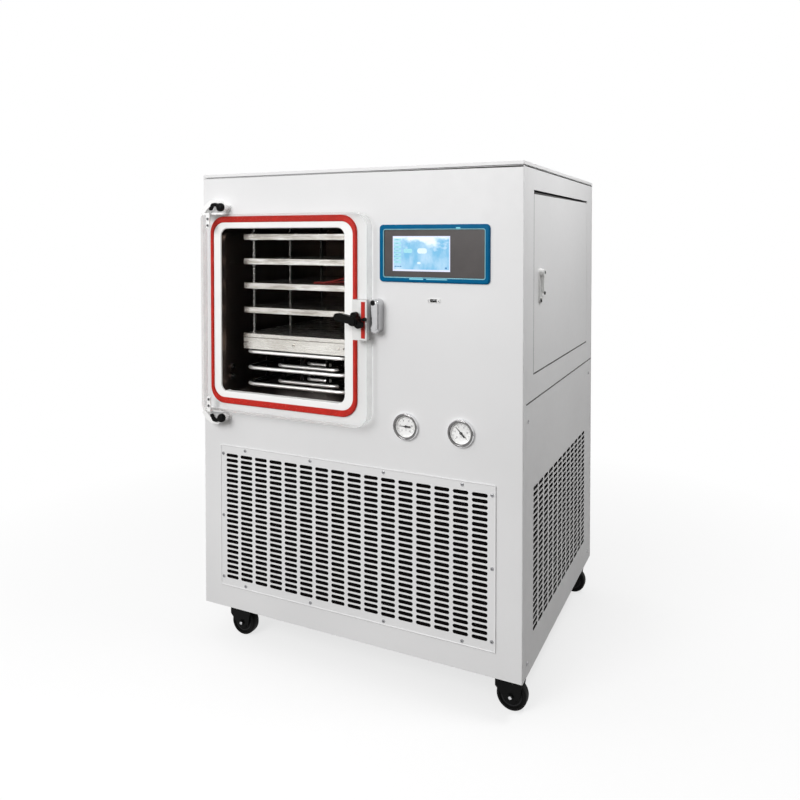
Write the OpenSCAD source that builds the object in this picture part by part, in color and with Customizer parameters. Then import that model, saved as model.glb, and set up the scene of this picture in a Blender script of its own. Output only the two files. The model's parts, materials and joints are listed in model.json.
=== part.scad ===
// Freeze dryer: a sheet-metal cabinet on casters, with a clear-doored drying chamber above a
// machine bay. Millimetres, +Z up, the front faces -Y, and the floor is at Z = 0.

/* [Chamber] */
// Width of the window opening
window_w = 398; // [330:2:480]
// Height of the window opening
window_h = 458; // [420:2:560]
// Inside depth of the chamber
chamber_d = 560; // [480:10:680]
// Wall of the chamber shell
chamber_wall = 6; // [4:1:9]
// How far the chamber is wider inside than its window, on each side
chamber_step = 8; // [4:1:14]
// Width of the white rim beside the window
rim_side = 25; // [18:1:32]
// Height of the white rim above and below the window
rim_top = 16.5; // [14:0.5:24]
// Width of the door seal beside the window
seal_w = 12; // [10:1:15]
// Width of the door seal above and below the window
seal_h = 17; // [12:1:19]
// How far the door seal stands proud of the front panel
seal_proud = 5.7; // [4.5:0.1:8]

/* [Shelves] */
// Number of shelves under the top plate
shelf_count = 3; // [3]
// Height from one shelf to the next
shelf_pitch = 69.5; // [60:0.5:76]
// Thickness of a shelf
shelf_t = 16; // [10:1:20]
// Depth of a shelf
shelf_d = 440; // [360:5:480]
// Diameter of the rods that hang the shelves
rod_d = 10; // [8:1:14]

/* [Condenser coil] */
// Diameter of the coil's tube
coil_tube_d = 10; // [8:0.5:14]
// Height from one level of the coil to the next
coil_pitch = 46; // [40:1:50]
// Distance from one nested loop to the next
coil_inset = 62; // [50:1:66]

/* [Door] */
// Thickness of the clear door plate
door_t = 30; // [20:1:36]
// Diameter of the door's pivot pins
door_pin_d = 8; // [6:1:10]
// Reach of the latch tongue from its spindle
tongue_reach = 46; // [42:1:48]

/* [Cabinet] */
// Width of the control column right of the door
control_w = 392.5; // [380:2.5:560]
// Depth of the cabinet
body_d = 790; // [760:5:960]
// Height of the machine bay under the deck
machine_bay_h = 530; // [480:5:680]
// Height of the space over the chamber
head_h = 130; // [110:5:180]
// Thickness of the cabinet's sheet metal
sheet_t = 2; // [1.5:0.1:3]
// Height of the lid
lid_h = 10; // [8:1:16]
// Size of the square corner posts
post_w = 30; // [25:1:36]

/* [Vents] */
// Length of a vent slot
slot_l = 39; // [30:1:42]
// Height of a vent slot
slot_h = 8; // [5:0.5:10]
// Spacing of the slot rows
slot_pitch_z = 14.375; // [13:0.125:18]
// Spacing of the slot columns in the front grille
slot_pitch_x = 49; // [46:1:60]

/* [Casters] */
// Height from the floor to the cabinet
caster_h = 97; // [96:1:120]
// Diameter of a caster wheel
wheel_d = 76; // [60:1:78]
// Width of a caster wheel
wheel_w = 28; // [20:1:34]
// Distance from the swivel to the axle
caster_trail = 30; // [20:1:36]

/* [Hidden] */
$fn = 48;
eps = 1;              // overshoot of a cut past the face it opens
run_fit = 0.05;       // radial clearance of a shaft that turns
seat_gap = 0.3;       // gap between faces that pass each other

// Chamber, rim and seal, about the chamber's centre line
flange_w = window_w + 2 * rim_side;
flange_h = window_h + 2 * rim_top;
flange_t = 20;
flange_proud = 3;
window_r = 22;
flange_r = 34;
seal_r = flange_r + seal_w;
seal_slip = 0.2;
in_w = window_w + 2 * chamber_step;
in_h = window_h + 2 * chamber_step * 0.75;
in_r = 26;
out_w = in_w + 2 * chamber_wall;
out_h = in_h + 2 * chamber_wall;
back_t = 8;
cradle_h = 74;
chamber_x = 42.5 + flange_w / 2;
chamber_z = machine_bay_h + cradle_h + out_h / 2;
chamber_y0 = flange_t - flange_proud;
chamber_y1 = chamber_y0 + chamber_d;

// Door
door_gap = seal_proud + seat_gap;
door_x0 = chamber_x - flange_w / 2 - seal_w - 9.5;
door_x1 = chamber_x + flange_w / 2 + seal_w + 45;
door_z0 = chamber_z - flange_h / 2 - seal_h - 16;
door_z1 = chamber_z + flange_h / 2 + seal_h + 4.5;
door_y0 = -door_gap - door_t;
door_y1 = -door_gap;
door_r = 40;
pivot_x = door_x0 + 3;
pivot_y = -door_gap - door_t / 2;
strap_t = 5;
strap_l = 60;
strap_r = 9;

// Cabinet
body_w = door_x1 + control_w;
body_h = machine_bay_h + cradle_h + out_h + head_h;
lid_gap = 2;
front_return = 25;
rear_return = 13;
edge_r = 3;
panel_gap = 0.5;
side_y0 = front_return + panel_gap;
side_y1 = body_d - rear_return - panel_gap;
seam_z = machine_bay_h + 125;
base_h = 40;
base_wall = 3;

// Control column, measured from the cabinet's right edge and from the chamber's centre
hmi_w = 292;
hmi_h = 143;
hmi_frame = 13;
hmi_x = body_w - 227;
hmi_z = chamber_z + 164;
hmi_plate_w = hmi_w - 2 * hmi_frame;
hmi_plate_h = hmi_h - 2 * hmi_frame;
screen_w = 154;
screen_h = 87;
screen_x = hmi_x - 32.5;
screen_z = hmi_z - 0.5;
gauge_x = [body_w - 300, body_w - 153.2];
gauge_z = chamber_z - 268;
gauge_r = 34;
usb_x = body_w - 226;
usb_z = chamber_z + 49;

// Grille and side vents
grille_t = 1.5;
vent_edge = 75;
vent_cols = floor((body_w - 2 * vent_edge) / slot_pitch_x);
vent_rows = floor((machine_bay_h - 165) / slot_pitch_z);
vent_z0 = 89.5;
vent_x = body_w / 2 - 3;
vent_z = vent_z0 + (vent_rows - 1) / 2 * slot_pitch_z;
grille_w = (vent_cols - 1) * slot_pitch_x + 80;
grille_h = (vent_rows - 1) * slot_pitch_z + 55;
grille_screw_inset = 9;
side_pitch = slot_pitch_x + 1.5;
side_cols = floor((body_d - 2 * 90) / side_pitch);
side_vent_y = body_d / 2 - 7;
rear_cols = 8;
rear_rows = 12;

// Screws
screw_r = 2;
screw_fit = 0.2;
head_r = 4.5;
head_t = 1.6;
side_screw_y = [40, body_d - 48];
side_screw_z = [32, seam_z - 43];
rear_screw_x = [60, body_w / 2, body_w - 60];
rear_screw_z = [60, seam_z, body_h - 30];

// Service door in the right side
svc_y0 = 85;
svc_y1 = body_d - 82;
svc_z0 = seam_z + 61;
svc_z1 = body_h - 53;
svc_gap = 2;
svc_top_gap = 5;
svc_depth = 15;
svc_pin_r = 2;
svc_axis_y = svc_y1 - svc_gap - 4;
svc_axis_x = body_w - 4;
jamb_depth = 18;
lock_y = 140;
lock_z = svc_z1 - 202;

// Chamber latch
latch_x = door_x1 - 27.5;
latch_z = chamber_z - 4;
notch_w = 41.5;
notch_z0 = latch_z - tongue_reach - 5;
notch_z1 = latch_z + 51;
housing_t = 12;
spindle_r = 5;
tongue_t = 5;
tongue_w = 14;
tongue_y = door_y0 + housing_t + 4;
keeper_w = 26;
keeper_x0 = door_x1 + 4;
keeper_h = 86;
keeper_z = latch_z + 10;

// Shelves and coil, measured from the chamber's centre line
shelf_w = in_w - 70;
shelf_y0 = 60;
top_plate_z = chamber_z + 205;
shelf_x0 = chamber_x - shelf_w / 2;
rod_x = shelf_w / 2 - 13.5;
rod_ys = [shelf_y0 + 35, shelf_y0 + shelf_d / 2, shelf_y0 + shelf_d - 35];
rod_fit = 0.1;
base_top_z = top_plate_z - shelf_pitch * (shelf_count + 1) + 2;
tray_h = 44;
tray_t = 3;
base_bottom_z = base_top_z - tray_h;
coil_r = coil_tube_d / 2;
coil_levels = 3;
coil_loops = 3;
coil_z1 = base_bottom_z - 4 - coil_r;
coil_bend_r = 30;
hanger_ys = [shelf_y0 + 110, shelf_y0 + shelf_d - 100];

// Rear connections
port_r = 27;
port_wall = 2;
port_x = chamber_x;
port_z = chamber_z + 110;
port_flange_r = 37.5;
port_out = 62;
drain_r = 8;
drain_y = chamber_y1 - 30;
drain_z = machine_bay_h - 330;
inlet_x = body_w - 190;
inlet_z = 180;

// Casters
caster_x = [70, body_w - 70];
caster_y = [56, body_d - 66];
caster_plate_t = 4;
race_h = 9;
race_r = 23;
fork_t = 3;
fork_gap = wheel_w + 4;
axle_r = 5;

// ---------- drawing aids ----------

// The cabinet's own corner: X from its left side, Y back from its front, Z from its lower edge
module at_cabinet() translate([-body_w / 2, -body_d / 2, caster_h]) children();

// A flat outline drawn in X and Z, from depth y0 to y1
module slab_xz(y0, y1) translate([0, y1, 0]) rotate([90, 0, 0]) linear_extrude(y1 - y0) children();

// A flat outline drawn in Y and Z, from x0 to x1
module slab_yz(x0, x1) translate([x0, 0, 0]) rotate([90, 0, 90]) linear_extrude(x1 - x0) children();

// A flat outline drawn in X and Y, from height z0 to z1
module slab_xy(z0, z1) translate([0, 0, z0]) linear_extrude(z1 - z0) children();

// A box between two corners
module box(a, b) translate(a) cube(b - a);

module rounded(w, h, r) {
    square([w - 2 * r, h], center = true);
    square([w, h - 2 * r], center = true);
    for (sx = [-1, 1], sz = [-1, 1])
        translate([sx * (w / 2 - r), sz * (h / 2 - r)]) circle(r);
}

module slot(l, w) {
    square([l - w, w], center = true);
    for (s = [-1, 1]) translate([s * (l - w) / 2, 0]) circle(d = w, $fn = 24);
}

// A straight bar with round ends, between two points of an outline
module link(a, b, r) {
    d = b - a;
    translate(a) circle(r);
    translate(b) circle(r);
    translate((a + b) / 2) rotate(atan2(d[1], d[0])) square([norm(d), 2 * r], center = true);
}

// A cylinder along Y, from depth y0 to y1
module rod_y(x, z, r, y0, y1) translate([x, y1, z]) rotate([90, 0, 0]) cylinder(r = r, h = y1 - y0);

// A cylinder along X, from x0 to x1
module rod_x(y, z, r, x0, x1) translate([x0, y, z]) rotate([0, 90, 0]) cylinder(r = r, h = x1 - x0);

// A field of vent slots about the origin
module vent_field(cols, rows, pitch)
    for (i = [0 : cols - 1], j = [0 : rows - 1])
        translate([(i - (cols - 1) / 2) * pitch, (j - (rows - 1) / 2) * slot_pitch_z])
            slot(slot_l, slot_h);

// ---------- cabinet ----------

// Folded base, open below, with corner plates for the casters
module base_frame() color("dimgray") at_cabinet() {
    lo = sheet_t;
    flange = 60;
    pad = [115, 100];
    hi = [body_w - sheet_t, body_d - sheet_t, base_h];
    difference() {
        box([lo, lo, 0], hi);
        box([lo + base_wall, lo + base_wall, base_wall],
            [hi[0] - base_wall, hi[1] - base_wall, base_h - base_wall]);
        box([flange, pad[1], -eps], [body_w - flange, body_d - pad[1], base_wall + eps]);
        box([pad[0], flange, -eps], [body_w - pad[0], body_d - flange, base_wall + eps]);
    }
}

module corner_posts() color("gainsboro") at_cabinet() {
    wall = 2.5;
    for (x = [sheet_t, body_w - sheet_t - post_w], y = [sheet_t, body_d - sheet_t - post_w])
        translate([x, y, 0]) slab_xy(base_h, body_h - sheet_t) difference() {
            square(post_w);
            translate([wall, wall]) square(post_w - 2 * wall);
        }
}

// Deck between the two bays, with its front and rear lips and the chamber's two cradles
module mid_deck() color("silver") at_cabinet() {
    t = 3;
    lip = 28;
    top = machine_bay_h;
    post = sheet_t + post_w;
    difference() {
        slab_xy(top - t, top) difference() {
            translate([sheet_t, sheet_t]) square([body_w - 2 * sheet_t, body_d - 2 * sheet_t]);
            for (x = [sheet_t, body_w - post], y = [sheet_t, body_d - post])
                translate([x, y]) square(post_w);
        }
        translate([chamber_x, drain_y, top - t - eps]) cylinder(r = drain_r + 2, h = t + 2 * eps);
    }
    for (y = [sheet_t, body_d - sheet_t - t])
        box([post, y, top - lip], [body_w - post, y + t, top - t]);
    for (y = [chamber_y0 + 90, chamber_y1 - 110]) translate([0, y, 0]) difference() {
        box([chamber_x - out_w / 2 + 40, 0, top], [chamber_x + out_w / 2 - 40, 40, top + cradle_h]);
        box([0, t, top - eps], [body_w, 40 - t, top + cradle_h - t]);
    }
}

module panel_cutouts() {
    translate([chamber_x, chamber_z]) rounded(flange_w + 2, flange_h + 2, flange_r + 1);
    translate([hmi_x, hmi_z]) square([hmi_plate_w - 26, hmi_plate_h - 14], center = true);
    for (x = gauge_x) translate([x, gauge_z]) circle(30.3);
    translate([usb_x, usb_z]) square([18, 8], center = true);
    translate([vent_x, vent_z]) square([grille_w - 31, grille_h - 40], center = true);
    grille_screw_places() circle(screw_r + screw_fit);
}

module grille_screw_places() {
    half_w = grille_w / 2 - grille_screw_inset;
    half_h = grille_h / 2 - grille_screw_inset;
    for (sx = [-1, 1], z = [-0.92, 0, 0.92])
        translate([vent_x + sx * half_w, vent_z + z * half_h]) children();
    for (x = [-0.81, -0.275, 0.275, 0.81], sz = [-1, 1])
        translate([vent_x + x * half_w, vent_z + sz * half_h]) children();
}

// Folded front panel: a face with two side returns and a top return
module front_panel() color("whitesmoke") at_cabinet() {
    difference() {
        slab_xy(0, body_h) difference() {
            translate([body_w / 2, front_return]) rounded(body_w, 2 * front_return, edge_r);
            box2([sheet_t, sheet_t], [body_w - sheet_t, 2 * front_return + eps]);
            box2([-eps, front_return], [body_w + eps, 2 * front_return + eps]);
        }
        slab_xz(-eps, sheet_t + eps) panel_cutouts();
    }
    box([sheet_t, sheet_t, body_h - sheet_t], [body_w - sheet_t, front_return - 3, body_h]);
}

module box2(a, b) translate(a) square(b - a);

module front_grille() color("whitesmoke") at_cabinet() slab_xz(-grille_t, 0) difference() {
    translate([vent_x, vent_z]) rounded(grille_w, grille_h, 4);
    translate([vent_x, vent_z]) vent_field(vent_cols, vent_rows, slot_pitch_x);
    grille_screw_places() circle(screw_r + screw_fit);
}

// A pan-head screw whose head rests on Z = 0, with its shank below
module pan_screw(grip) {
    cylinder(r = head_r, h = head_t * 0.6);
    translate([0, 0, head_t * 0.6]) cylinder(r1 = head_r, r2 = head_r * 0.6, h = head_t * 0.4);
    translate([0, 0, -grip]) cylinder(r = screw_r, h = grip);
}

module panel_screws() color("silver") at_cabinet() {
    translate([0, -grille_t, 0]) rotate([90, 0, 0])
        grille_screw_places() pan_screw(grille_t + sheet_t);
    for (y = side_screw_y, z = side_screw_z) {
        translate([body_w, y, z]) rotate([0, 90, 0]) pan_screw(sheet_t);
        translate([0, y, z]) rotate([0, -90, 0]) pan_screw(sheet_t);
    }
    for (x = rear_screw_x, z = rear_screw_z)
        translate([x, body_d, z]) rotate([-90, 0, 0]) pan_screw(sheet_t);
}

module side_outline(z0, z1) box2([side_y0, z0], [side_y1, z1]);

// Vented side sheet, drawn for the right side
module lower_side() slab_yz(body_w - sheet_t, body_w) difference() {
    side_outline(0, seam_z - panel_gap);
    translate([side_vent_y, vent_z]) vent_field(side_cols, vent_rows, side_pitch);
    for (y = side_screw_y, z = side_screw_z) translate([y, z]) circle(screw_r + screw_fit);
}

// Lip behind the seam, which the sheet below bears on
module seam_lip() box([body_w - 2 * sheet_t, side_y0 + post_w, seam_z - 15],
                      [body_w - sheet_t, side_y1 - post_w, seam_z + 15]);

module mirrored_side() translate([body_w, 0, 0]) mirror([1, 0, 0]) children();

module right_lower_panel() color("gainsboro") at_cabinet() lower_side();
module left_lower_panel() color("gainsboro") at_cabinet() mirrored_side() lower_side();

module left_upper_panel() color("gainsboro") at_cabinet() mirrored_side() {
    slab_yz(body_w - sheet_t, body_w) side_outline(seam_z + panel_gap, body_h);
    seam_lip();
}

// Right upper sheet with its door opening, framed by an inward flange
module right_upper_panel() color("gainsboro") at_cabinet() {
    difference() {
        union() {
            slab_yz(body_w - sheet_t, body_w) side_outline(seam_z + panel_gap, body_h);
            slab_yz(body_w - jamb_depth, body_w - sheet_t)
                box2([svc_y0 - sheet_t, svc_z0 - sheet_t], [svc_y1 + sheet_t, svc_z1 + sheet_t]);
            seam_lip();
        }
        box([body_w - jamb_depth - eps, svc_y0, svc_z0], [body_w + eps, svc_y1, svc_z1]);
        translate([svc_axis_x, svc_axis_y, svc_z0 - sheet_t - eps])
            cylinder(r = svc_pin_r + run_fit, h = svc_z1 - svc_z0 + 2 * sheet_t + 2 * eps);
    }
}

module rear_panel() color("gainsboro") at_cabinet() {
    difference() {
        slab_xy(0, body_h) difference() {
            translate([body_w / 2, body_d - rear_return]) rounded(body_w, 2 * rear_return, edge_r);
            box2([sheet_t, body_d - 3 * rear_return], [body_w - sheet_t, body_d - sheet_t]);
            box2([-eps, body_d - 3 * rear_return], [body_w + eps, body_d - rear_return]);
        }
        slab_xz(body_d - sheet_t - eps, body_d + eps) {
            translate([port_x, port_z]) circle(port_r + 1);
            translate([chamber_x, drain_z]) circle(drain_r + 1);
            translate([inlet_x, inlet_z]) circle(12 + screw_fit);
            translate([body_w / 2 + 40, 330]) vent_field(rear_cols, rear_rows, slot_pitch_x);
            for (x = rear_screw_x, z = rear_screw_z) translate([x, z]) circle(screw_r + screw_fit);
        }
    }
    box([sheet_t, body_d - rear_return, body_h - sheet_t],
        [body_w - sheet_t, body_d - sheet_t, body_h]);
}

// Folded lid: a top sheet and a skirt that stops short of the panels, on a rim that rests on them
module top_lid() color("white") at_cabinet() {
    inset = 8;
    difference() {
        slab_xy(body_h + lid_gap, body_h + lid_h)
            translate([body_w / 2, body_d / 2]) rounded(body_w, body_d, edge_r);
        box([sheet_t, sheet_t, body_h - eps],
            [body_w - sheet_t, body_d - sheet_t, body_h + lid_h - sheet_t]);
    }
    difference() {
        box([inset, inset, body_h], [body_w - inset, body_d - inset, body_h + lid_h - sheet_t]);
        box([inset + 6, inset + 6, body_h - eps],
            [body_w - inset - 6, body_d - inset - 6, body_h + lid_h]);
    }
}

// ---------- chamber ----------

module chamber_shell() color("darkslategray") at_cabinet() {
    difference() {
        slab_xz(chamber_y0, chamber_y1 + back_t) translate([chamber_x, chamber_z])
            rounded(out_w, out_h, in_r + chamber_wall);
        slab_xz(chamber_y0 - eps, chamber_y1) translate([chamber_x, chamber_z])
            rounded(in_w, in_h, in_r);
        rod_y(port_x, port_z, port_r, chamber_y1 - eps, chamber_y1 + back_t + eps);
        translate([chamber_x, drain_y, chamber_z - out_h / 2 - eps])
            cylinder(r = drain_r - 4, h = chamber_wall + 2 * eps);
    }
    for (z = [-168, -196]) translate([chamber_x - in_w / 2, 46, chamber_z + z]) {
        rotate([0, 90, 0]) cylinder(r = 9, h = 7);
        rotate([0, 90, 0]) cylinder(r = 5.5, h = 13);
    }
}

// Rim round the window, stepped at its inner edge
module chamber_flange() color("white") at_cabinet() translate([chamber_x, 0, chamber_z])
    difference() {
        slab_xz(-flange_proud, chamber_y0) rounded(flange_w, flange_h, flange_r);
        slab_xz(-flange_proud - eps, chamber_y0 + eps) rounded(window_w, window_h, window_r);
        slab_xz(-flange_proud - eps, -flange_proud + 1.5)
            rounded(window_w + 3, window_h + 3, window_r + 1.5);
    }

// Seal with a broad foot and a narrower lip
module door_gasket() color("firebrick") at_cabinet() translate([chamber_x, 0, chamber_z]) {
    foot = seal_proud * 0.6;
    lip_in = 2;
    difference() {
        slab_xz(-foot, 0) rounded(flange_w + 2 * seal_w, flange_h + 2 * seal_h, seal_r);
        slab_xz(-foot - eps, eps)
            rounded(flange_w + 2 * seal_slip, flange_h + 2 * seal_slip, flange_r + seal_slip);
    }
    difference() {
        slab_xz(-seal_proud, -foot)
            rounded(flange_w + 2 * (seal_w - lip_in), flange_h + 2 * (seal_h - lip_in), seal_r - lip_in);
        slab_xz(-seal_proud - eps, eps - foot)
            rounded(flange_w + 2 * lip_in, flange_h + 2 * lip_in, flange_r + lip_in);
    }
}

module rod_places() for (sx = [-1, 1], y = rod_ys) translate([chamber_x + sx * rod_x, y]) children();

module shelf_outline(r) {
    translate([chamber_x, shelf_y0 + shelf_d / 2]) rounded(shelf_w, shelf_d, r);
}

// Heated shelf plate, centred on height z
module shelf_plate(z) color("lightgray") at_cabinet()
    slab_xy(z - shelf_t / 2, z + shelf_t / 2) difference() {
        shelf_outline(5);
        rod_places() circle(rod_d / 2 + rod_fit);
    }

module shelf_top() shelf_plate(top_plate_z);
module shelf_1() shelf_plate(top_plate_z - shelf_pitch);
module shelf_2() shelf_plate(top_plate_z - 2 * shelf_pitch);
module shelf_3() shelf_plate(top_plate_z - 3 * shelf_pitch);

// Folded lowest shelf, open below, with a return along its lower edge
module shelf_base() color("lightgray") at_cabinet() {
    difference() {
        slab_xy(base_bottom_z, base_top_z) shelf_outline(3);
        box([shelf_x0 + tray_t, shelf_y0 + tray_t, base_bottom_z - eps],
            [shelf_x0 + shelf_w - tray_t, shelf_y0 + shelf_d - tray_t, base_top_z - tray_t]);
        slab_xy(base_top_z - tray_t - eps, base_top_z + eps) rod_places() circle(rod_d / 2 + rod_fit);
    }
    for (x = [chamber_x, shelf_x0 + shelf_w - 30])
        rod_y(x, base_bottom_z + 17, 4, shelf_y0 - 2.5, shelf_y0);
}

// Hanging rods with a collar under each shelf and a nut under the lowest
module shelf_rods() color("silver") at_cabinet() rod_places() {
    ceiling = chamber_z + in_h / 2;
    nut_h = 8;
    foot = base_top_z - tray_t - nut_h;
    translate([0, 0, foot]) cylinder(d = rod_d, h = ceiling - foot);
    translate([0, 0, foot]) cylinder(d = rod_d * 1.8, h = nut_h, $fn = 6);
    for (k = [0 : shelf_count])
        translate([0, 0, top_plate_z - k * shelf_pitch - shelf_t / 2 - 5])
            cylinder(d = rod_d + 6, h = 5);
    translate([0, 0, top_plate_z + shelf_t / 2]) cylinder(d = rod_d * 1.8, h = 7, $fn = 6);
}

// One closed loop of tube with round corners, centred on the origin
module tube_loop(w, d, bend, r) {
    for (s = [-1, 1]) {
        translate([-(w / 2 - bend), s * d / 2, 0]) rotate([0, 90, 0]) cylinder(r = r, h = w - 2 * bend);
        translate([s * w / 2, d / 2 - bend, 0]) rotate([90, 0, 0]) cylinder(r = r, h = d - 2 * bend);
    }
    for (q = [0 : 3]) rotate(q * 90) {
        half = q % 2 == 0 ? [w / 2, d / 2] : [d / 2, w / 2];
        translate([half[0] - bend, half[1] - bend, 0])
            rotate_extrude(angle = 90) translate([bend, 0]) circle(r, $fn = 24);
    }
}

// Nested tube loops on three levels, brazed to risers at the back and to hanger strips
module condenser_coil() color("silver") at_cabinet() translate([chamber_x, shelf_y0 + shelf_d / 2, 0]) {
    outer = [shelf_w - coil_tube_d, shelf_d - coil_tube_d];
    strip = [14, 3];
    low = coil_z1 - (coil_levels - 1) * coil_pitch;
    for (level = [0 : coil_levels - 1], loop = [0 : coil_loops - 1])
        translate([0, 0, coil_z1 - level * coil_pitch])
            tube_loop(outer[0] - 2 * loop * coil_inset, outer[1] - 2 * loop * coil_inset,
                      coil_bend_r - 4 * loop, coil_r);
    for (loop = [0 : coil_loops - 1], s = [-1, 1])
        translate([s * 18, outer[1] / 2 - loop * coil_inset, low]) cylinder(r = coil_r - 1, h = coil_z1 - low);
    for (s = [-1, 1]) {
        inner_y = outer[1] / 2 - (coil_loops - 1) * coil_inset;
        lead_z = low + coil_pitch * (s > 0 ? 1.5 : 0.5);
        translate([s * 18, inner_y, lead_z]) rotate([-90, 0, 0])
            cylinder(r = coil_r - 1, h = chamber_y1 - shelf_y0 - shelf_d / 2 - inner_y);
    }
    for (y = hanger_ys) translate([0, y - shelf_y0 - shelf_d / 2, 0]) {
        box([-shelf_w / 2, -strip[0] / 2, base_bottom_z - strip[1]],
            [shelf_w / 2, strip[0] / 2, base_bottom_z]);
        for (loop = [0 : coil_loops - 1], s = [-1, 1]) {
            x = s * (outer[0] / 2 - loop * coil_inset);
            box([x - strip[1] / 2, -strip[0] / 2, low - coil_r - 3],
                [x + strip[1] / 2, strip[0] / 2, base_bottom_z - strip[1]]);
        }
    }
}

// A round tube swept along a list of points that all run towards -X
module swept_tube(points, r, sides = 8) {
    n = len(points);
    rings = [for (p = points, k = [0 : sides - 1])
        p + [0, r * cos(360 * k / sides), r * sin(360 * k / sides)]];
    ends = [[for (k = [sides - 1 : -1 : 0]) k], [for (k = [0 : sides - 1]) (n - 1) * sides + k]];
    walls = [for (i = [0 : n - 2], k = [0 : sides - 1])
        let (a = i * sides + k, b = i * sides + (k + 1) % sides) [a, b, b + sides, a + sides]];
    polyhedron(points = rings, faces = concat(ends, walls));
}

// Temperature probes: cables from the right wall that come down onto the second shelf
module probe_cables() color("maroon") at_cabinet() {
    r = 2;
    wall_x = chamber_x + in_w / 2;
    lie_z = top_plate_z - 2 * shelf_pitch + shelf_t / 2 + r + 0.1;
    for (k = [0, 1]) {
        y = 125 + 45 * k;
        drop = 40 - 24 * k;
        run = 150 - 20 * k;
        points = [for (i = [0 : 14]) let (u = i / 14)
            [wall_x - run * u, y - 16 * k * u, lie_z + drop * pow(1 - u, 1.3)]];
        swept_tube(points, r);
        translate([wall_x - run, y - 16 * k, lie_z]) rotate([0, -90, 0]) cylinder(r = r, h = 30);
    }
}

// ---------- control column ----------

module hmi_bezel() color("steelblue") at_cabinet() translate([hmi_x, 0, hmi_z]) {
    difference() {
        slab_xz(-3, 0) rounded(hmi_w, hmi_h, 10);
        slab_xz(-4, 1) rounded(hmi_plate_w, hmi_plate_h, 4);
    }
    difference() {
        slab_xz(-5, -3) rounded(hmi_w - 5, hmi_h - 5, 8);
        slab_xz(-6, -2) rounded(hmi_plate_w + 5, hmi_plate_h + 5, 6);
    }
}

module hmi_plate() color("dimgray") at_cabinet() {
    difference() {
        translate([hmi_x, 0, hmi_z]) slab_xz(-2, 0) rounded(hmi_plate_w - 0.4, hmi_plate_h - 0.4, 3.8);
        translate([screen_x, 0, screen_z]) slab_xz(-3, -1)
            square([screen_w + 0.4, screen_h + 0.4], center = true);
    }
    translate([hmi_x, 0, hmi_z]) slab_xz(0, 38) square([hmi_plate_w - 30, hmi_plate_h - 18], center = true);
}

module hmi_screen() color("lightskyblue") at_cabinet() translate([screen_x, 0, screen_z])
    slab_xz(-1.8, -1) square([screen_w, screen_h], center = true);

module at_gauge(i) at_cabinet() translate([gauge_x[i], 0, gauge_z]) rotate([90, 0, 0]) children();

dial_r = 26.4;
lens_r = 28.4;
needle_shaft_r = 0.8;

module gauge_cases() color("dimgray") for (i = [0, 1]) at_gauge(i) rotate_extrude()
    polygon([[needle_shaft_r + run_fit, -4], [needle_shaft_r + run_fit, 0], [dial_r + 0.1, 0],
             [dial_r + 0.1, 6], [lens_r + 0.1, 6], [lens_r + 0.1, 9], [31, 9], [gauge_r, 5],
             [gauge_r, 0], [30, 0], [30, -42], [7, -42], [7, -58], [0, -58], [0, -4]]);

module gauge_dials() color("white") for (i = [0, 1]) at_gauge(i) difference() {
    cylinder(r = dial_r, h = 1);
    translate([0, 0, -1]) cylinder(r = needle_shaft_r + run_fit + 0.1, h = 3);
}

module gauge_lenses() color("lightcyan") for (i = [0, 1]) at_gauge(i)
    translate([0, 0, 6]) cylinder(r = lens_r, h = 2);

module gauge_needle(turn) {
    translate([0, 0, -3.5]) cylinder(r = needle_shaft_r, h = 5);
    translate([0, 0, 1.4]) cylinder(r = 3, h = 1.6);
    rotate(turn) translate([0, 0, 1.8]) linear_extrude(0.8)
        polygon([[-8, -1.4], [-8, 1.4], [18, 0.6], [20, 0], [18, -0.6]]);
}

module gauge_needle_1() color("black") at_gauge(0) gauge_needle(180);
module gauge_needle_2() color("black") at_gauge(1) gauge_needle(135);

module usb_socket() color("black") at_cabinet() translate([usb_x, 0, usb_z]) {
    difference() {
        union() {
            slab_xz(-1.5, 0) rounded(34, 9.2, 2);
            slab_xz(0, 16) square([17, 7], center = true);
        }
        slab_xz(-3, 14) square([13, 5], center = true);
    }
    slab_xz(2, 14) translate([0, 0.9]) square([11.6, 1.4], center = true);
}

// ---------- chamber door ----------

// Outline of the clear plate: broad corners on the latch side, small ones on the hinge side
module door_outline() {
    small = 10;
    box2([door_x0 + small, door_z0], [door_x1 - door_r, door_z1]);
    box2([door_x0, door_z0 + small], [door_x0 + small, door_z1 - small]);
    box2([door_x1 - door_r, door_z0 + door_r], [door_x1, door_z1 - door_r]);
    for (z = [door_z0 + small, door_z1 - small]) translate([door_x0 + small, z]) circle(small);
    for (z = [door_z0 + door_r, door_z1 - door_r]) translate([door_x1 - door_r, z]) circle(door_r);
}

module door_plate() color("aliceblue") at_cabinet() slab_xz(door_y0, door_y1) difference() {
    door_outline();
    box2([door_x1 - notch_w, notch_z0], [door_x1 + eps, notch_z1]);
}

strap_tab = [42, 54];  // left and right edges of the strap's tab on the plate's front face
tab_t = 2.5;
tab_l = 37;

// Upper strap: a flat eye on the plate's top edge and a tab screwed to its front face
module hinge_strap() {
    difference() {
        slab_xy(0, strap_t) {
            translate([pivot_x, pivot_y]) circle(strap_r);
            translate([pivot_x, pivot_y - strap_r]) square([strap_l, 2 * strap_r]);
            translate([pivot_x + strap_l, pivot_y]) circle(strap_r);
            box2([strap_tab[0], door_y0 - tab_t], [strap_tab[1], pivot_y]);
        }
        translate([pivot_x, pivot_y, -eps])
            cylinder(d = door_pin_d + 2 * run_fit, h = strap_t + 2 * eps);
    }
    box([strap_tab[0], door_y0 - tab_t, -tab_l], [strap_tab[1], door_y0, strap_t]);
    for (z = [-tab_l + 7, -tab_l + 25])
        rod_y((strap_tab[0] + strap_tab[1]) / 2, z, 4, door_y0 - tab_t - 1.6, door_y0 - 1);
}

module hinge_straps() color("silver") at_cabinet() at_both_hinges() hinge_strap();

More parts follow.
